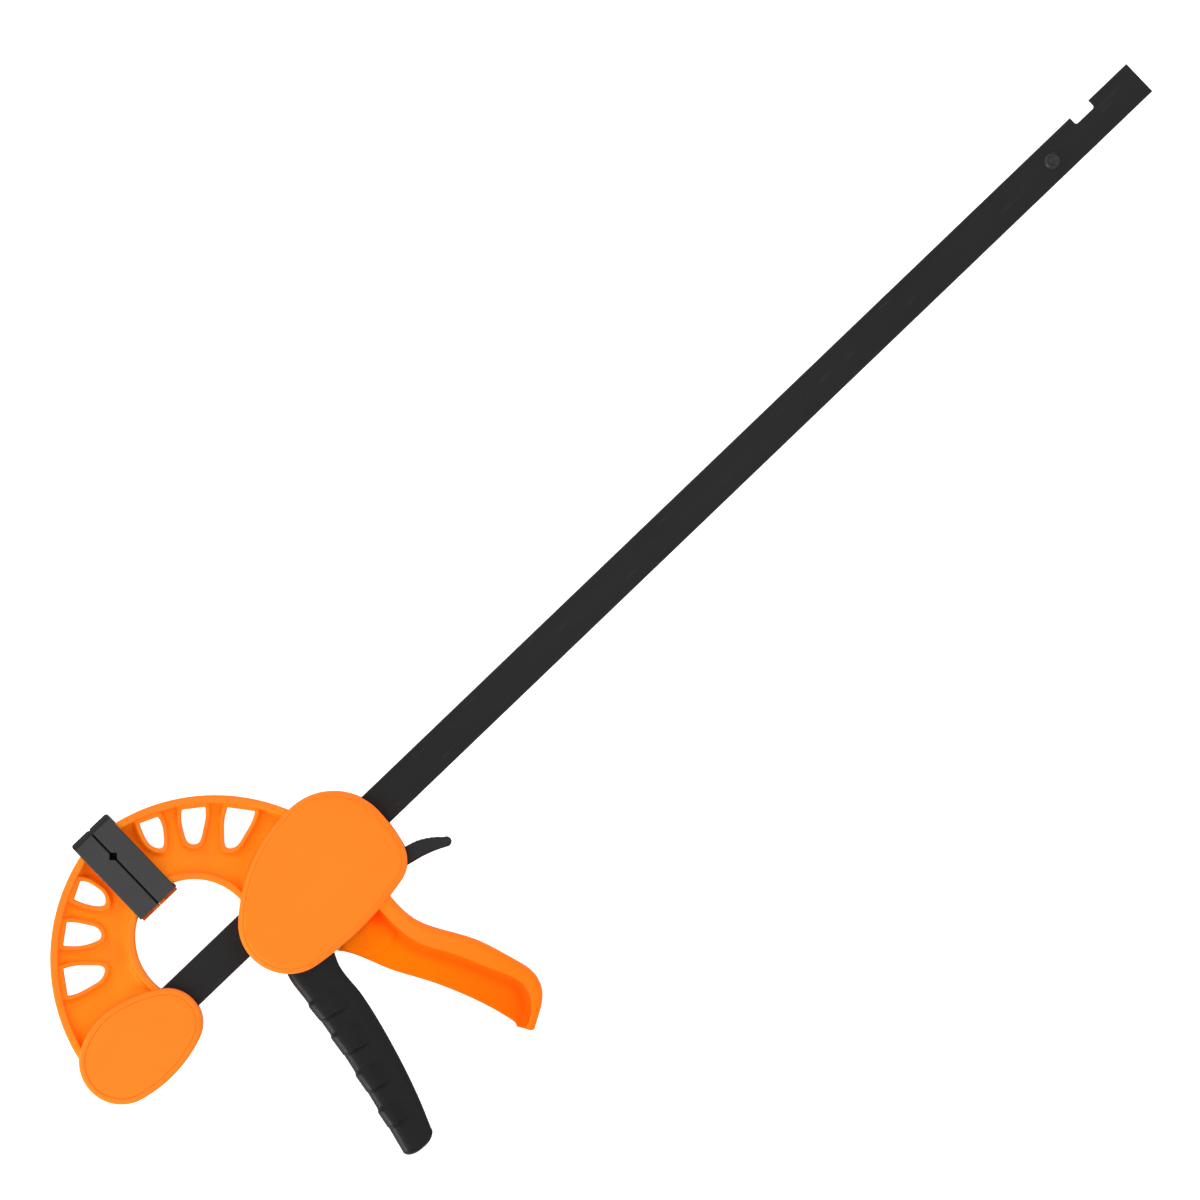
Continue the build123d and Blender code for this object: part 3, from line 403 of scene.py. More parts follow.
def makeOrange(name, look):
    finish = Finish(name, look["face"], look["roughness"], Specular_IOR_Level=look["gloss"],
                    Sheen_Weight=look["sheen"])
    edge = finish.effect("edge", Radius=look["edgeRadius"], Gain=3.0)
    hollow = finish.effect("cavity", Distance=look["hollow"], Gain=look["hollowGain"])["Mask"]
    grain = finish.effect("grain", Scale=look["grain"])
    worn = finish.effect("handling")
    finish.tint(worn["Patch"], look["shade"], 0.5)
    # the handle is painted deeper in colour towards its lower end, where less light falls: painted shade
    finish.tint(finish.span("Y", *look["shadeFall"]), look["low"])
    # painted light and shade in the hollows: where the occlusion mask is, the colour moves towards the hollows'
    # tint, and in the most shut-in corners towards the deepest one
    finish.tint(hollow, look["hollowShading"])
    finish.tint(calculate(finish.tree, "POWER", hollow, look["deepestPower"]), look["deepestShading"])
    # the lips behind the pads' lower ends lie in their shade
    lip = finish.span(*look["lip"][0])
    for stretch in look["lip"][1:]:
        lip = calculate(finish.tree, "MULTIPLY", lip, finish.span(*stretch))
    finish.tint(lip, look["lipShade"], 0.85)
    # lighter on the sharp edges: a painted highlight
    finish.tint(edge["Edge"], look["edge"], 0.35)
    finish.roughen(grain["Fleck"], 0.42, 0.56)
    finish.roughen(worn["Scuff"], 0.0, 0.08)
    return finish.done(grain["Height"], 0.16, 0.00006, edge["Normal"])


def makePadPlastic(name, look):
    finish = Finish(name, look["face"], 0.62, Specular_IOR_Level=0.25)
    edge = finish.effect("edge", Radius=0.0006, Gain=3.0)
    hollow = finish.effect("cavity", Distance=0.003, Gain=3.0)
    grain = finish.effect("grain", Scale=1500.0, Pits=0.8)
    worn = finish.effect("handling", Patch_Scale=40.0)
    finish.tint(grain["Fleck"], look["fleck"], 0.3)
    finish.tint(worn["Patch"], look["patch"], 0.4)
    # the pads' sloping ends are painted dark, darkest at their foot: painted shade
    finish.tint(finish.span("Y", *look["shadeFootY"]), look["foot"])
    finish.tint(finish.span("Y", *look["shadeSlopeY"]), look["slope"])
    # painted shade in the hollows and seams
    finish.tint(hollow["Mask"], look["hollow"], 0.9)
    # a painted shadow along the gripping faces' edges at the closing plane, where the pads meet
    apart = calculate(finish.tree, "SUBTRACT", finish.place("X"), closingX * mm)
    away = calculate(finish.tree, "ABSOLUTE", apart)
    finish.tint(ramp(finish.tree, away, *look["splitShadowX"]), look["foot"], 0.9)
    # lighter on the sharp edges: a painted highlight
    finish.tint(edge["Edge"], look["edge"], 0.45)
    finish.roughen(grain["Fleck"], 0.56, 0.72)
    return finish.done(grain["Height"], 0.3, 0.00012, edge["Normal"])


def makeBlackPlastic(name, look):
    finish = Finish(name, look["face"], 0.4, Specular_IOR_Level=0.2, Sheen_Weight=0.12, Sheen_Roughness=0.3)
    edge = finish.effect("edge", Radius=0.0005, Gain=5.0)
    hollow = finish.effect("cavity", Distance=0.0014, Gain=2.2)
    grain = finish.effect("grain", Scale=1900.0, Pits=0.6)
    worn = finish.effect("handling", Patch_Scale=34.0)
    finish.tint(worn["Patch"], look["patch"], 0.5)
    # darker towards the lower end: painted shade
    finish.tint(finish.span("Y", *look["shadeFall"]), look["low"], 0.8)
    # painted shade in the hollows, such as the foot of each band
    finish.tint(hollow["Mask"], look["hollow"], 0.8)
    # lighter on the sharp edges, such as the bands' upper edges: a painted highlight
    finish.tint(edge["Edge"], look["edge"], 0.5)
    finish.roughen(grain["Fleck"], 0.42, 0.55)
    finish.roughen(worn["Patch"], 0.0, 0.06)
    return finish.done(grain["Height"], 0.25, 0.00009, edge["Normal"])


def makeBarSteel(name, look):
    # Black oxide over drawn steel, lighter on the edges: partly rubbed a little brighter, partly a painted
    # highlight.
    finish = Finish(name, look["face"], 0.42, Metallic=look["metal"], Specular_IOR_Level=look["gloss"])
    edge = finish.effect("edge", Radius=0.0006, Gain=2.5)
    rolled = finish.effect("rolled")
    worn = finish.effect("handling", Patch_Scale=16.0, Scuff_Scale=420.0)
    finish.tint(rolled["Streak"], look["streak"], 0.4)
    finish.tint(worn["Patch"], look["patch"], 0.4)
    finish.tint(worn["Scuff"], look["scuff"], 0.2)
    # lighter on the edges: partly rubbed wear, partly a painted highlight
    finish.tint(edge["Edge"], look["edge"], 0.7)
    finish.roughen(rolled["Streak"], 0.38, 0.5)
    return finish.done(rolled["Line"], 0.12, 0.00005, edge["Normal"])


def makeBareSteel(name, colour, roughness):
    # Plated or bright steel: clear metal with fine lines and duller patches.
    finish = Finish(name, colour, roughness, Metallic=1.0)
    edge = finish.effect("edge", Radius=0.0003, Gain=2.5)
    rolled = finish.effect("rolled", Scale=2600.0)
    worn = finish.effect("handling", Patch_Scale=60.0)
    finish.tint(worn["Patch"], [0.72 * c for c in colour], 0.5)
    # lighter on the sharp edges: a painted highlight
    finish.tint(edge["Edge"], [min(255, 1.2 * c) for c in colour], 0.5)
    finish.roughen(worn["Patch"], roughness - 0.05, roughness + 0.12)
    return finish.done(rolled["Line"], 0.1, 0.00003, edge["Normal"])


finishes = {
    "orange_plastic": makeOrange("orangePlastic", orangeLook),
    "pad_plastic": makePadPlastic("padPlastic", padLook),
    "black_plastic": makeBlackPlastic("blackPlastic", blackLook),
    "bar_steel": makeBarSteel("barSteel", steelLook),
    "plate_steel": makeBareSteel("plateSteel", (150, 152, 154), 0.34),
    "spring_steel": makeBareSteel("springSteel", (176, 176, 172), 0.28),
    "screw_steel": makeBareSteel("screwSteel", (120, 121, 124), 0.36),
}
# the palm's web gets the shaded copy of the orange: painted shade
palmShadedOrange = makeOrange("palmShadedOrange", palmShadedLook)
# a lighter copy of the black plastic for the release tab, whose face catches more light than the trigger's:
# painted light
tabLitBlack = makeBlackPlastic("tabLitBlack", {**blackLook, "face": 30, "patch": 36})
rivetSteel = makeBarSteel("rivetSteel", {**steelLook, "gloss": 0.36, "metal": 0.0})
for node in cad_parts.values():
    for place in node.material_slots:
        place.material = finishes[place.material.name]
print("finishes made:", len(finishes))


# ---- fillets of the jaws' arms ----

hub = {"lobes": [(-68.1, -3.1, 21.3), (-38.3, -5.1, 17.6), (-57.7, 3.0, 17.2)], "bulges": [69.0, 64.0, 42.0]}
egg = {"lobes": [(39.9, -11.0, 25.1), (91.6, -17.1, 17.8), (80.2, -1.2, 31.3)], "bulges": [172.0, 84.0, 82.0]}
arms = {
    "fixedArm": {
        "side": -1, "outer": (9.8, -6.7, 94.5), "inner": (3.0, 14.8, 32.5), "sweep": (82, 189), "joins": hub,
        "body": "bar_and_fixed_jaw",
        "windows": [
            [(-29.3, 72.1), (-20.8, 76.5), (-18.4, 73.6), (-16.9, 68.4), (-16.6, 63.8), (-19.3, 59.7),
             (-26.7, 66.1)],
            [(-49.4, 59.1), (-40.0, 66.3), (-36.4, 62.8), (-33.0, 57.9), (-30.7, 52.2), (-32.5, 49.0),
             (-37.2, 49.7), (-42.8, 52.7)],
            [(-65.1, 39.4), (-57.3, 50.7), (-51.6, 47.5), (-46.0, 42.4), (-42.2, 36.4), (-45.0, 34.3),
             (-53.7, 34.9), (-60.9, 37.0)]]},
    "slidingArm": {
        "side": 1, "outer": (-8.8, -8.2, 95.8), "inner": (-0.5, 15.1, 31.3), "sweep": (98, -8), "joins": egg,
        "body": "sliding_head",
        "windows": [
            [(20.4, 76.8), (29.6, 72.8), (28.1, 68.0), (25.3, 64.0), (20.2, 60.2), (17.4, 63.4), (17.5, 69.6)],
            [(40.6, 67.1), (50.1, 60.0), (46.9, 56.3), (41.0, 52.1), (34.6, 49.4), (31.6, 52.2), (33.3, 58.2),
             (36.4, 63.2)],
            [(57.9, 52.2), (66.6, 41.2), (60.9, 38.1), (54.0, 36.1), (46.8, 35.2), (43.7, 37.6), (46.6, 42.9),
             (51.3, 47.8)]]},
}
armSizes = {"outerRim": 4.0, "innerRim": 3.5, "web": 2.5, "collar": 2.0, "plateBack": 8.0, "cover": 0.05,
            "rimRound": 5.0, "collarRound": 3.2, "bodyRound": 3.5, "tuck": 0.7, "under": 1.7, "rows": 76,
            "columns": 290}


def armFillets(arm, size):
    # Rays from the inner circle's centre run between the two rims, and the web's height rises
    # in a round corner towards each rim, each window's collar and the body that the arm grows from.
    inner, outer = np.array(arm["inner"][:2]), np.array(arm["outer"][:2])
    innerEdge = arm["inner"][2] + size["innerRim"]
    outerEdge = arm["outer"][2] - size["outerRim"]
    ray = facing(np.radians(np.linspace(*arm["sweep"], size["columns"])))
    shift = ray @ (inner - outer)
    reach = -shift + np.sqrt(shift**2 - ((inner - outer) ** 2).sum() + (outerEdge + size["tuck"]) ** 2)
    nearest = innerEdge - size["tuck"]
    share = np.linspace(0, 1, size["rows"])[:, None]
    xy = inner + (nearest + share * (reach - nearest))[..., None] * ray
    rise = np.maximum(fillet(outerEdge - np.linalg.norm(xy - outer, axis=-1), size["rimRound"]),
                      fillet(np.linalg.norm(xy - inner, axis=-1) - innerEdge, size["rimRound"]))
    keep = np.ones(xy.shape[:2], bool)
    for corners in arm["windows"]:
        loop = np.vstack([corners[0], curveThrough(corners[1:] + corners[:1], np.linspace(0, 1, 40))])
        away = outsideBy(xy, loop)
        rise = np.maximum(rise, fillet(away - size["collar"], size["collarRound"]))
        keep &= away > size["collar"] / 2
    away = outsideBy(xy, ovalOutline(arm["joins"], np.linspace(0, 2 * pi, 160)))
    rise = np.maximum(rise, fillet(away, size["bodyRound"]))
    keep &= (away > -size["under"]) & (arm["side"] * xy[..., 0] > size["plateBack"] - size["tuck"])
    plate = fillet(arm["side"] * xy[..., 0] - size["plateBack"], size["bodyRound"])
    return maskedSlab(xy, size["web"] + size["cover"] + np.maximum(rise, plate), keep)


for name, arm in arms.items():
    makePiece(name + "Fillets", [armFillets(arm, armSizes)], arm["body"], "orange_plastic")


# ---- scooped web of the palm handle ----

palm = {"front": [(48.3, -38.0), (51.9, -42.4), (60.8, -62.0), (70.0, -78.5), (78.4, -96.0), (85.4, -115.4),
                  (87.5, -125.0), (86.9, -127.2), (88.6, -130.2)],
        "recess": [(77.7, -36.0), (77.7, -45.0), (80.4, -63.0), (88.0, -77.0), (98.8, -100.0), (103.6, -114.6),
                   (99.4, -124.2), (93.6, -128.5), (90.0, -130.6)],
        "web": 3.0, "cover": 0.05, "scoop": 4.0, "tuck": 0.6, "boss": (67.0, -38.0, 15.0), "bossHeight": 0.9,
        "bossRamp": 2.4, "rows": 44, "columns": 190}


def palmScoop(shape):
    # Straight lines from the handle's front edge to its flange; the web's height rises in a round
    # corner towards the flange, and by a low step over the boss near the housing.
    along = np.linspace(0, 1, shape["columns"])
    front, recess = curveThrough(shape["front"], along), curveThrough(shape["recess"], along)
    over = (recess - front) / np.linalg.norm(recess - front, axis=1)[:, None] * shape["tuck"]
    share = np.linspace(0, 1, shape["rows"])[:, None, None]
    xy = front + share * (recess + over - front)
    away = lineDistance(xy, recess)
    away[-1] = 0
    rise = fillet(away, shape["scoop"])
    x, y, radius = shape["boss"]
    fromBoss = np.hypot(xy[..., 0] - x, xy[..., 1] - y)
    boss = shape["bossHeight"] * (1 - smoothStep(radius, radius + shape["bossRamp"], fromBoss))
    half = shape["web"] + shape["cover"] + np.maximum(rise, boss)
    return maskedSlab(xy, half, np.ones(half.shape, bool))


makePiece("palmWeb", [palmScoop(palm)], "sliding_head", "orange_plastic", finish=palmShadedOrange)


# ---- springs ----

# each spring's joint: keep is the share of its length left at the joint's limit, and
# fixedEnd is the end that stays, 0 for the lower and 1 for the higher
springs = {"driveSpring": {"node": "drive_spring", "body": "sliding_head", "axis": 0, "wire": 1.5, "turns": 5.5,
                           "joint": "trigger_pull", "keep": 0.495, "fixedEnd": 1},
           "brakeSpring": {"node": "brake_spring", "body": "sliding_head", "axis": 0, "wire": 1.3, "turns": 4.5,
                           "joint": "release_press", "keep": 0.83, "fixedEnd": 1},
           "buttonSprings": {"node": "button_springs", "body": "bar_and_fixed_jaw", "axis": 2, "wire": 0.7,
                             "turns": 5.5, "places": [(-69.5, -2.5), (-31.0, -3.5)], "radius": 2.85,
                             "joint": "button_press", "keep": 0.46, "fixedEnd": 0}}


def coilShell(low, high, centre, radius, axis, wire, turns, steps=40, sides=12):
    # A round wire along a helix: its section stands in the plane of the radius and the axis, and
    # the first and last turns lie one wire apart, as a pressed spring's closed ends do.
    turn = np.linspace(0, turns, int(turns * steps))
    free = high - low - wire
    climb = np.interp(turn, [0, 1, turns - 1, turns], [0, wire, free - wire, free]) + low + wire / 2
    around = fullTurn(sides)
    out = radius + wire / 2 * np.cos(around)
    grid = np.empty((len(turn), sides, 3))
    side1, side2 = [i for i in range(3) if i != axis]
    grid[..., side1] = centre[0] + np.cos(2 * pi * turn)[:, None] * out
    grid[..., side2] = centre[1] + np.sin(2 * pi * turn)[:, None] * out
    grid[..., axis] = climb[:, None] + wire / 2 * np.sin(around)
    return gridShell(grid)


for name, spring in springs.items():
    low, high = (np.array(corner) / mm - (closingX, 0, 0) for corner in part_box(spring["node"]))
    axis, wire = spring["axis"], spring["wire"]
    radius = spring.get("radius", (high[1] - low[1] - wire) / 2)
    shells = [coilShell(low[axis], high[axis], place, radius, axis, wire, spring["turns"])
              for place in spring.get("places", [(0, midZ)])]
    piece = makePiece(name, shells, spring["body"], "spring_steel", [spring["node"]])
    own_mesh(piece)


# ---- side cover ----

cover = {**egg, "centre": (66.0, -6.0), "thickness": 4.8, "wall": 2.4, "top": 2.4, "edgeRound": 2.1,
         "bandDrop": 0.28, "columns": 260, "deepInset": 13.0, "innerEdge": 0.4, "outerEdge": 0.2,
         "mouthEdge": 0.15,
         # the crease's middle, its section as distance inwards and height over the band beside it, and
         # the crown's as inset and depth under the top
         "creaseInset": 2.55, "crease": [(-0.2, 0.04), (0.0, -0.34), (0.15, -0.1), (0.4, 0.12), (1.2, 0.18)],
         "crown": [(6.0, 0.07), (9.0, 0.03), (13.0, 0.01)]}


def coverProfile(shape):
    # Inset and height of each ring, from the middle of the hollow side, round the rim, to the middle
    # of the face: a quarter round, a band that rises to a fine crease, and a slightly crowned face.
    top, wall, rim = shape["thickness"], shape["wall"], shape["edgeRound"]
    shoulder, hollow = top - shape["bandDrop"], top - shape["top"]
    inner, outer, mouth = shape["innerEdge"], shape["outerEdge"], shape["mouthEdge"]
    rows = [(shape["deepInset"], hollow), (wall + inner, hollow), (wall, hollow - inner), (wall, mouth),
            (wall - mouth, 0), (outer, 0), (0, outer)]
    rows += [(rim * (1 - run), shoulder - rim + rim * rise) for run, rise in facing(np.linspace(0, pi / 2, 9))]
    rows += [(shape["creaseInset"] + along, shoulder + height) for along, height in shape["crease"]]
    return rows + [(inset, top - depth) for inset, depth in shape["crown"]]


def coverShell(shape):
    theta = fullTurn(shape["columns"])
    base = 2 * midZ - shape["thickness"]
    profile, middle = coverProfile(shape), np.array(shape["centre"])
    inwards = ovalOutline(shape, theta, shape["deepInset"]) - middle
    rings = [(middle + share * inwards, profile[0][1]) for share in (0.02, 0.5)]
    rings += [(ovalOutline(shape, theta, inset), height) for inset, height in profile]
    rings += [(middle + share * inwards, shape["thickness"]) for share in (0.6, 0.3, 0.02)]
    return gridShell([atHeight(xy, base + height) for xy, height in rings])


makePiece("frontCover", [coverShell(cover)], "sliding_head", "orange_plastic", ["front_side_cover"])


# ---- release button ----

button = {**hub, "centre": (-53.0, -1.5), "inset": 2.95, "low": 31.0, "high": 34.0, "edgeRound": 0.45,
          "crown": 0.1, "deepInset": 11.0, "columns": 240, "overlap": 0.1, "lowerEdge": 0.2,
          # how far inwards the crown has which share of its height
          "crownRows": [(2.0, 0.5), (4.5, 0.85)],
          # posts by place, radius and lower end
          "guide": (-52.0, -15.6, 2.2, 20.1),
          "springSeats": [(-69.5, -2.5, 2.0, 29.4), (-31.0, -3.5, 2.0, 29.4)],
          "socket": {"centre": (-47.75, 11.4), "hole": (12.4, 3.1), "wall": 1.55, "low": 27.6}}


def buttonPlate(shape):
    # Rings of the hub's outline: up the side, round a small edge and over a crown of hardly any height.
    theta = fullTurn(shape["columns"])
    inset, edge, low, lower = shape["inset"], shape["edgeRound"], shape["low"], shape["lowerEdge"]
    top, crown = shape["high"] - shape["crown"], shape["crown"]
    profile = [(shape["deepInset"], low), (inset + lower, low), (inset, low + lower)]
    profile += [(inset + edge * (1 - run), top - edge + edge * rise)
                for run, rise in facing(np.linspace(0, pi / 2, 7))]
    profile += [(inset + along, top + share * crown) for along, share in shape["crownRows"]]
    profile.append((shape["deepInset"], shape["high"]))
    rings = [atHeight(ovalOutline(shape, theta, into), z) for into, z in profile]
    middle = np.array((*shape["centre"], 0))
    inwards = [rings[-1] + share * (middle - rings[-1]) * (1, 1, 0) for share in (0.5, 0.97)]
    below = [rings[0] + share * (middle - rings[0]) * (1, 1, 0) for share in (0.97, 0.5)]
    return gridShell(below + rings + inwards)


def postShell(x, y, radius, low, high, rounding=0.4, steps=28):
    # A round post with its lower end rounded off.
    corner = rounding * facing(np.linspace(-pi / 2, 0, 4)) + (radius - rounding, low + rounding)
    return turnedShell(x, y, [*corner, (radius, high)], steps)


def socketShell(shape):
    # A rectangular collar round the key, kept within the button: the reach of a rectangle is the lesser
    # of its halves over the direction's cosine and sine.
    socket = shape["socket"]
    centre, half = np.array(socket["centre"]), np.array(socket["hole"]) / 2
    outer = half + socket["wall"]
    diagonal = np.array([np.arctan2(y, x) for x, y in (half, outer)])
    theta = np.sort(np.concatenate([fullTurn(72), diagonal, pi - diagonal, pi + diagonal,
                                    2 * pi - diagonal]))
    ray = facing(theta)
    limit = outlineReach(ovalOutline(shape, np.linspace(0, 2 * pi, 400), shape["inset"]), centre, theta)
    hole, wall = [(sides / np.maximum(np.abs(ray), 1e-9)).min(axis=1) for sides in (half, outer)]
    wall = np.minimum(wall, limit)
    low, high = socket["low"], shape["low"] + shape["overlap"]
    rings = [atHeight(centre + reach[:, None] * ray, z)
             for reach, z in ((hole, low), (wall, low), (wall, high), (hole, high))]
    return gridShell(rings, wrapRows=True)


posts = [postShell(*post, button["low"] + button["overlap"])
         for post in (button["guide"], *button["springSeats"])]
buttonShells = [buttonPlate(button), *posts, socketShell(button)]
makePiece("hubButton", buttonShells, "button_and_key", "orange_plastic", ["release_button"])


# ---- stop rivet ----

rivet = {"shank": 2.95, "rim": 0.6, "halfBar": 3.0, "edge": 0.1, "dimple": 2.1, "dimpleDepth": 0.9, "steps": 64}


def rivetShell(shape):
    # Rings about the rivet's own middle: a low domed head on either face of the bar, with a round dimple.
    low, high = (np.array(corner) / mm - (closingX, 0, 0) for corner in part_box("bar_stop_pin"))
    radius, top, middle = (high[0] - low[0]) / 2, (high[2] - low[2]) / 2, (low + high) / 2
    face, depth, share = shape["halfBar"], shape["dimpleDepth"], np.linspace(0, 1, 9)
    start, bowlEdge = face + shape["edge"], shape["dimple"] + shape["rim"]
    dome = [(radius - (radius - bowlEdge) * t, start + (top - start) * (2 * t - t * t)) for t in share]
    bowl = [(bowlEdge - shape["rim"] * t, top - depth * smoothStep(0, 1, t)) for t in share[1:]]
    head = [(shape["shank"], face), (radius, face), *dome, *bowl, (shape["edge"], top - depth)]
    profile = [(r, middle[2] - z) for r, z in reversed(head)] + [(r, middle[2] + z) for r, z in head]
    return turnedShell(middle[0], middle[1], profile, shape["steps"])


makePiece("stopRivet", [rivetShell(rivet)], "bar_and_fixed_jaw", "bar_steel", ["bar_stop_pin"],
          finish=rivetSteel)


# ---- trigger ----

trigger = {
    "front": [(29.7, -12.9), (24.6, -21.5), (21.2, -30.5), (19.2, -45.8), (15.8, -68.8), (11.5, -91.2),
              (6.2, -115.0), (1.8, -133.5)],
    "rear": [(48.5, -12.9), (48.6, -18.0), (47.4, -34.0), (43.6, -43.0), (41.5, -62.0), (34.6, -92.7),
             (25.8, -120.4), (20.4, -134.0)],
    "halfWidth": 11.0, "cheek": 2.6, "frontWall": 3.4, "frontRound": 5.5, "frontSag": 0.12, "tipRound": 0.9,
    "innerRound": 1.4, "rimInset": 0.5, "sideGap": 1.5, "sideShare": 0.8, "rows": 720,
    # each band: its upper and lower edge at the front, how far both drop per millimetre behind it,
    # and how far back it reaches
    "bands": [(-49.4, -57.6, 0.10, 0.24, 17.5), (-68.6, -78.0, 0.16, 0.26, 16.0),
              (-90.6, -99.4, 0.18, 0.26, 14.5), (-111.4, -119.2, 0.20, 0.26, 12.5)],
    "bandHeight": 0.8, "bandRamp": 2.6, "bandStep": 0.5, "bandTaper": 0.6, "bandFade": 7.0,
    "grooveDepth": 0.45, "grooveDrop": 0.45, "grooveHalf": 0.7,
    # the hollow closes between two heights, and below the last station the toe sinks and draws in
    "solid": (-129.0, -133.0), "roundDepth": 7.1, "toeDrop": 4.8, "toeRows": 14, "toeShut": 0.97,
    "toeWidth": (1.6, 0.2),
    "pivot": (44.0, 12.7), "eye": 4.2, "hole": 2.55, "eyeEdge": 0.3,
    "cheekFront": [(39.9, 12.7), (36.4, 1.0), (29.8, -12.5), (28.3, -15.0)],
    "cheekRear": [(48.5, -15.0), (48.5, 8.0), (48.2, 12.7)],
    # bars across, which bite into the walls beside them
    "ribs": (-95.0, -111.0, -126.0), "rib": 2.2, "ribSetback": 3.0, "nose": (47.9, -15.5, 1.8),
    "sideBite": 0.4, "ribBite": 0.5, "noseStart": 25.6,
}


def triggerSection(shape):
    # The front part of half the U's section, from the middle of the front round to the side, as depth
    # behind the front and distance from the middle plane.
    turn = np.linspace(0, pi / 2, 8)
    flat, bend, sag = shape["halfWidth"] - shape["frontRound"], shape["frontRound"], shape["frontSag"]
    front = [(sag * (z / flat) ** 2, z) for z in np.linspace(0, flat, 6)]
    return front + list(zip(sag + (bend - sag) * (1 - np.cos(turn)), flat + bend * np.sin(turn)))[1:]


def triggerProud(shape, y, depth):
    # Bands stand proud of the front, wrap back along the sides and fade out there: each slopes off
    # above and ends below in a step, lower on the front, and on the sides with a fine groove under it.
    most = np.zeros_like(y)
    beside = smoothStep(0, shape["frontRound"], depth)
    for high, low, dropHigh, dropLow, reach in shape["bands"]:
        top, bottom = high - dropHigh * depth, low - dropLow * depth
        foot = bottom - shape["bandStep"]
        rise = smoothStep(foot, bottom, y) * (1 - smoothStep(top, top + shape["bandRamp"], y))
        groove = np.clip(1 - np.abs(y - foot + shape["grooveDrop"]) / shape["grooveHalf"], 0, 1)
        down = np.clip((top - y) / (top - bottom), 0, 1)
        height = shape["bandHeight"] * (1 - shape["bandTaper"] * down * (1 - beside))
        fade = 1 - smoothStep(reach - shape["bandFade"], reach, depth)
        most += (height * rise - shape["grooveDepth"] * groove * beside) * fade
    return most


def triggerShell(shape):
    share = np.concatenate([np.linspace(0, 1, shape["rows"]), np.ones(shape["toeRows"])])
    front, rear = curveThrough(shape["front"], share), curveThrough(shape["rear"], share)
    # below the last station the section sinks in a quarter ellipse and closes up towards its middle
    toe = np.concatenate([np.zeros(shape["rows"]), np.linspace(0, 1, shape["toeRows"] + 1)[1:]])[:, None]
    sink = np.sin(toe * pi / 2) * (0, -shape["toeDrop"])
    middle = (front + rear) / 2
    shrink = np.cos(shape["toeShut"] * toe * pi / 2)
    front, rear = middle + (front - middle) * shrink + sink, middle + (rear - middle) * shrink + sink
    thick = np.linalg.norm(rear - front, axis=1)
    y = (front[:, 1] + rear[:, 1]) / 2
    half, tip, bend = shape["halfWidth"], shape["tipRound"], shape["innerRound"]
    inner, inset = half - shape["cheek"], shape["rimInset"]
    # the hollow runs out above the toe, and the roundings shrink with it where it closes up
    solid = smoothStep(*shape["solid"], y)
    near = np.minimum(1, thick / shape["roundDepth"])
    floor = shape["frontWall"] * (1 - solid) + thick * solid
    quarter = facing(np.linspace(0, pi / 2, 4))
    # each place in the half section as its depth behind the front and its distance from the middle
    # plane: round the front, along the side, round the tip, and inside back to the middle
    ring = []
    for depth, width in triggerSection(shape):
        proud = triggerProud(shape, y, depth)
        ring.append(((depth - proud) * near, width + proud * smoothStep(0, half, width)))
    for depth in np.linspace(shape["frontRound"] + 1, shape["bands"][0][4] + 0.5, 12):
        sunk = np.minimum(depth * near, np.maximum(thick - shape["sideGap"], shape["sideShare"] * thick))
        ring.append((sunk, half + triggerProud(shape, y, depth)))
    ring += [(thick - near * tip * (1 - rise), half - tip * (1 - run)) for run, rise in quarter]
    ring += [(thick - tip * (1 - run) * (1 - solid), inner + inset * (1 - rise)) for run, rise in quarter]
    ring += [(np.minimum(floor + bend * (1 - rise), thick), inner - bend * (1 - run))
             for run, rise in facing(np.linspace(0, pi / 2, 5))]
    ring.append((floor, 0))
    depths, widths = (np.array([np.broadcast_to(line, thick.shape) for line in lines]) for lines in zip(*ring))
    wide, least = shape["toeWidth"]
    widths = widths * np.minimum(1, shrink[:, 0] * wide + least)
    # mirror the half section about the middle plane
    depths = np.vstack([depths, depths[-2:0:-1]])
    widths = np.vstack([widths, -widths[-2:0:-1]])
    backwards = (rear - front) / thick[:, None]
    xy = front[:, None] + depths.T[..., None] * backwards[:, None]
    return gridShell(np.concatenate([xy, midZ + widths.T[..., None]], axis=-1))


def cheekShell(shape, side):
    # A flat cheek from the grip up to its eye: rings between the pin's hole and its outline.
    pivot = np.array(shape["pivot"])
    front, rear = shape["cheekFront"], shape["cheekRear"]
    over = pivot + shape["eye"] * facing(np.linspace(0, pi, 24))
    outline = np.vstack([curveThrough(front, np.linspace(0, 1, 30)), np.linspace(front[-1], rear[0], 12),
                         curveThrough(rear, np.linspace(0, 1, 20)), over])
    theta = fullTurn(120)
    reach = outlineReach(outline, pivot, theta)
    low, high, edge = shape["halfWidth"] - shape["cheek"], shape["halfWidth"], shape["eyeEdge"]
    hole = np.full_like(theta, shape["hole"])
    rings = [(hole, low), (hole, high), (reach - edge, high), (reach, high - edge), (reach, low + edge),
             (reach - edge, low)]
    return gridShell([atHeight(pivot + out[:, None] * facing(theta), midZ + side * height)
                      for out, height in rings], wrapRows=True)


def crossBar(centre, sizes, halfWidth, rounding=0.5, steps=5):
    # A bar across the trigger: a rounded rectangle in plan, carried from cheek to cheek.
    corner = facing(np.linspace(0, pi / 2, steps)) * rounding
    wide, tall = sizes[0] / 2 - rounding, sizes[1] / 2 - rounding
    outline = np.vstack([corner + (wide, tall), corner[:, ::-1] * (-1, 1) + (-wide, tall),
                         corner * (-1, -1) + (-wide, -tall), corner[:, ::-1] * (1, -1) + (wide, -tall)])
    return gridShell([atHeight(outline + centre, midZ + z) for z in (-halfWidth, halfWidth)])


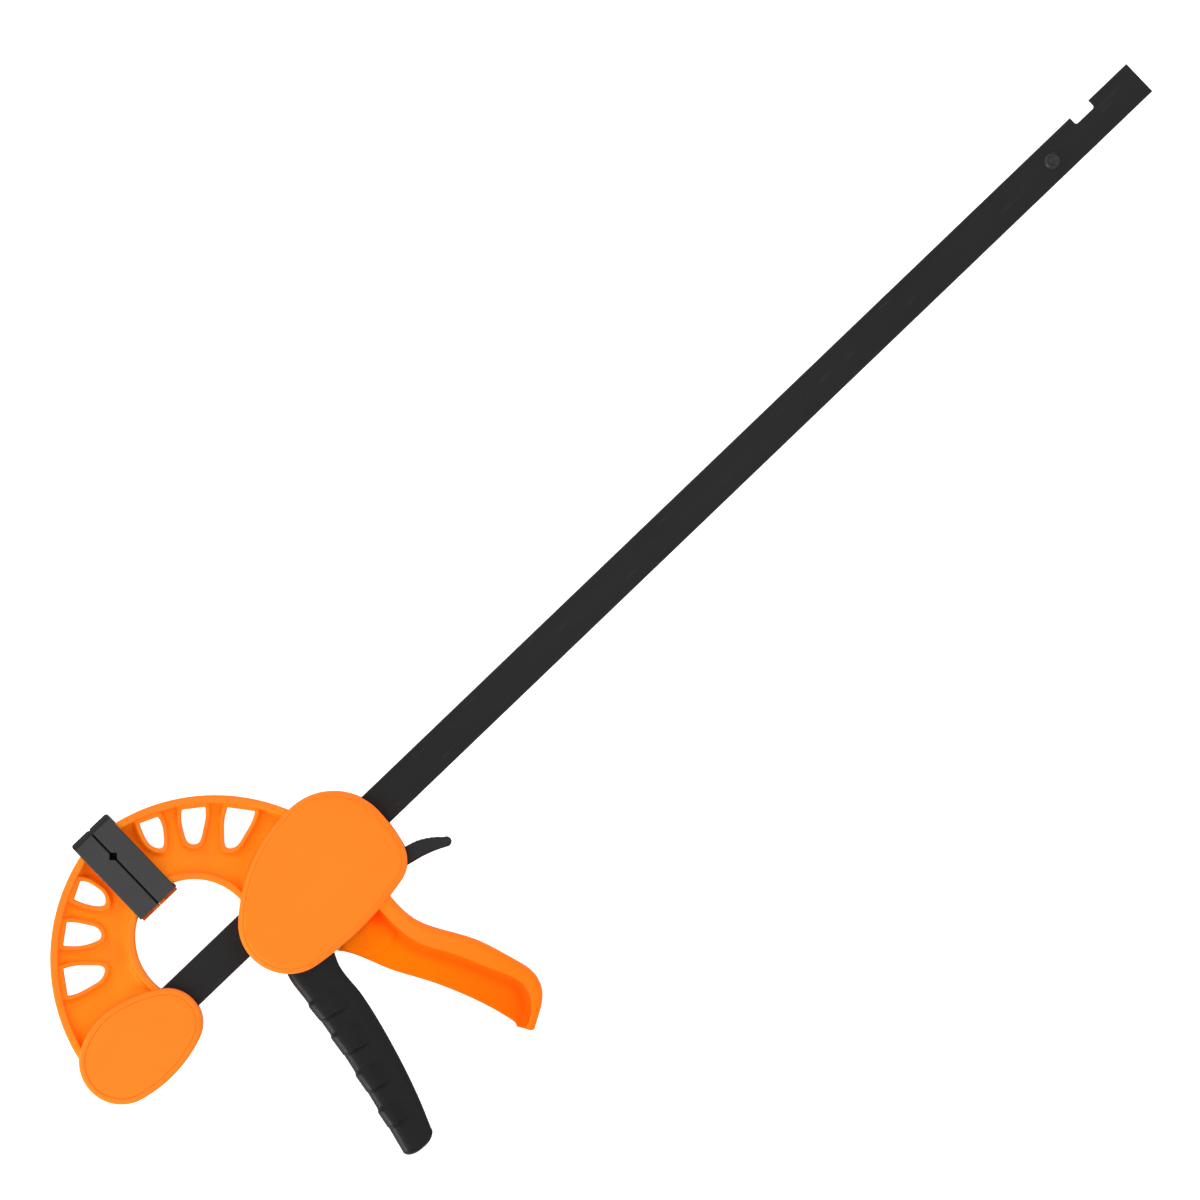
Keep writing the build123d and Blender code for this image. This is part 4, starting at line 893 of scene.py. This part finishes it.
def triggerParts(shape):
    inner = shape["halfWidth"] - shape["cheek"] + shape["sideBite"]
    shells = [triggerShell(shape), cheekShell(shape, 1), cheekShell(shape, -1)]
    share = np.linspace(0, 1, 200)
    front, rear = curveThrough(shape["front"], share), curveThrough(shape["rear"], share)
    for y in shape["ribs"]:
        x1 = np.interp(-y, -front[:, 1], front[:, 0]) + shape["frontWall"] - shape["ribBite"]
        x2 = np.interp(-y, -rear[:, 1], rear[:, 0]) - shape["ribSetback"]
        shells.append(crossBar(((x1 + x2) / 2, y), (x2 - x1, shape["rib"]), inner))
    x, y, radius = shape["nose"]
    start, end = shape["noseStart"], x + radius
    shells.append(crossBar(((start + end) / 2, y), (end - start, 2 * radius), inner, radius - 0.02))
    return shells


makePiece("gripTrigger", triggerParts(trigger), "trigger_lever", "black_plastic", ["trigger"])


# ---- release tab ----

tab = {"upper": [(88.8, -18.2), (95.4, -16.8), (101.0, -19.8), (108.4, -23.5), (115.0, -25.7), (121.4, -29.6),
                 (125.9, -33.5)],
       "lower": [(90.2, -26.6), (96.0, -28.8), (103.4, -31.1), (112.2, -33.3), (118.8, -35.7), (124.3, -38.4)],
       "tipReach": 2.6, "tipShut": 0.995, "halfWidth": 9.0, "edgeRound": 1.6, "rows": 26, "columns": 150,
       "tipColumns": 22, "ridges": (109.0, 124.5, 2.2), "ridgeHeight": 0.16,
       "plate": {"foot": (92.5, -22.0), "lean": 6.0, "half": 1.65, "below": 3.65}}


def tabSlab(shape):
    # Straight lines from the lower to the upper edge, then a half ellipse round the tip; the height
    # follows a quarter round near the outline, and low ridges cross the thumb's side.
    along = np.linspace(0, 1, shape["columns"])
    lower, upper = curveThrough(shape["lower"], along), curveThrough(shape["upper"], along)
    first, last, pitch = shape["ridges"]
    swell = np.where((upper[:, 0] > first) & (upper[:, 0] < last),
                     np.sin(pi * (upper[:, 0] - first) / pitch) ** 2, 0) * shape["ridgeHeight"]
    upper = upper + (upper - lower) / np.linalg.norm(upper - lower, axis=1)[:, None] * swell[:, None]
    tip = np.sin(np.linspace(0, pi / 2, shape["tipColumns"] + 1)[1:])[:, None]
    across = upper[-1] - lower[-1]
    forward = np.array([across[1], -across[0]]) / np.linalg.norm(across) * shape["tipReach"]
    narrow = np.sqrt(1 - (shape["tipShut"] * tip) ** 2)
    middle = (upper[-1] + lower[-1]) / 2
    lower = np.vstack([lower, middle - across / 2 * narrow + forward * tip])
    upper = np.vstack([upper, middle + across / 2 * narrow + forward * tip])
    share = (1 - np.cos(np.linspace(0, pi, shape["rows"])))[:, None, None] / 2
    xy = lower + share * (upper - lower)
    outline = np.vstack([lower, upper[::-1], lower[:1]])
    half = shape["halfWidth"] - fillet(lineDistance(xy, outline), shape["edgeRound"])
    # the slot that the brake plate's foot stands in
    plate = shape["plate"]
    lean = radians(plate["lean"])
    away = xy - plate["foot"]
    ahead = away @ (np.cos(lean), np.sin(lean))
    up = away @ (-np.sin(lean), np.cos(lean))
    slot = (np.abs(ahead) < plate["half"]) & (up > -plate["below"])
    return maskedSlab(xy, half, ~slot)


makePiece("thumbTab", [tabSlab(tab)], "release_lever", "black_plastic", ["release_tab"], finish=tabLitBlack)


# ---- stage, light and camera ----

studio = {"floorSize": 6.0, "floorGap": 0.0002, "floorTone": 0.8, "floorGlow": 0.92, "skyLow": 1.1,
          "skyHigh": 0.34, "skyJawSide": 1.25, "distance": 12.0, "frameWidth": 0.6,
          "imageCentre": (0.31183, -0.00194), "right": (0.7218, -0.6920, 0.0), "up": (0.6920, 0.7218, 0.0)}
# name, place, diameter in metres, watts
lamps = [("key", (-0.6, -0.1, 1.9), 1.6, 12), ("fill", (1.0, -0.5, 1.5), 1.3, 7),
         ("side", (-1.6, 0.1, 0.2), 0.8, 28), ("jaw", (0.1, 1.5, 1.4), 0.9, 7)]


def makeFloor(shape):
    material = bpy.data.materials.new("paleFloor")
    material.use_nodes = True
    tree = material.node_tree
    inputs = tree.nodes["Principled BSDF"].inputs
    values = {"Base Color": (shape["floorTone"],) * 3 + (1,), "Roughness": 0.9, "Specular IOR Level": 0.1,
              "Emission Color": (1, 1, 1, 1)}
    for label, value in values.items():
        inputs[label].default_value = value
    # the floor is lit up for the eye alone, and throws back only the light that falls on it
    seen = addNode(tree, "LightPath").outputs["Is Camera Ray"]
    tree.links.new(calculate(tree, "MULTIPLY", seen, shape["floorGlow"]), inputs["Emission Strength"])
    half, low = shape["floorSize"] / 2, -shape["floorGap"]
    mesh = bpy.data.meshes.new("floor")
    corners = [(-half, -half, low), (half, -half, low), (half, half, low), (-half, half, low)]
    mesh.from_pydata(corners, [], [(0, 1, 2, 3)])
    mesh.materials.append(material)
    floor = bpy.data.objects.new("floor", mesh)
    bpy.context.scene.collection.objects.link(floor)


def addSoftLight(name, place, size, watts, aim=(0.1, 0.0, 0.0)):
    light = bpy.data.lights.new(name, "AREA")
    light.shape = "DISK"
    light.size = size
    light.energy = watts
    lamp = bpy.data.objects.new(name, light)
    lamp.location = place
    lamp.rotation_euler = (Vector(aim) - Vector(place)).to_track_quat("-Z", "Y").to_euler()
    bpy.context.scene.collection.objects.link(lamp)


def makeCamera(shape):
    camera = bpy.data.cameras.new("camera")
    camera.sensor_width = 36.0
    camera.lens = camera.sensor_width * shape["distance"] / shape["frameWidth"]
    camera.clip_end = 30.0
    seen = bpy.data.objects.new("camera", camera)
    right, up = Vector(shape["right"]).normalized(), Vector(shape["up"]).normalized()
    turn = Matrix.Identity(3)
    turn.col[0], turn.col[1], turn.col[2] = right, up, right.cross(up)
    seen.matrix_world = turn.to_4x4()
    seen.location = (*shape["imageCentre"], midZ * mm + shape["distance"])
    bpy.context.scene.collection.objects.link(seen)
    bpy.context.scene.camera = seen


def makeSky(shape):
    # A white tent: bright low down, dimmer overhead, and dimmer towards the jaws' tips.
    world = bpy.data.worlds.new("whiteTent")
    world.use_nodes = True
    tree = world.node_tree
    way = addNode(tree, "SeparateXYZ", {0: addNode(tree, "TexCoord").outputs["Generated"]}).outputs
    height = ramp(tree, way["Z"], low=shape["skyLow"], high=shape["skyHigh"])
    side = ramp(tree, way["Y"], -1.0, 1.0, 1.0, shape["skyJawSide"])
    back = tree.nodes["Background"].inputs
    tree.links.new(calculate(tree, "MULTIPLY", height, side), back["Strength"])
    back["Color"].default_value = (1, 1, 1, 1)
    bpy.context.scene.world = world


makeFloor(studio)
makeCamera(studio)
for lamp in lamps:
    addSoftLight(*lamp)
makeSky(studio)
bpy.context.scene.view_settings.view_transform = "Standard"
print("stage, light and camera placed")
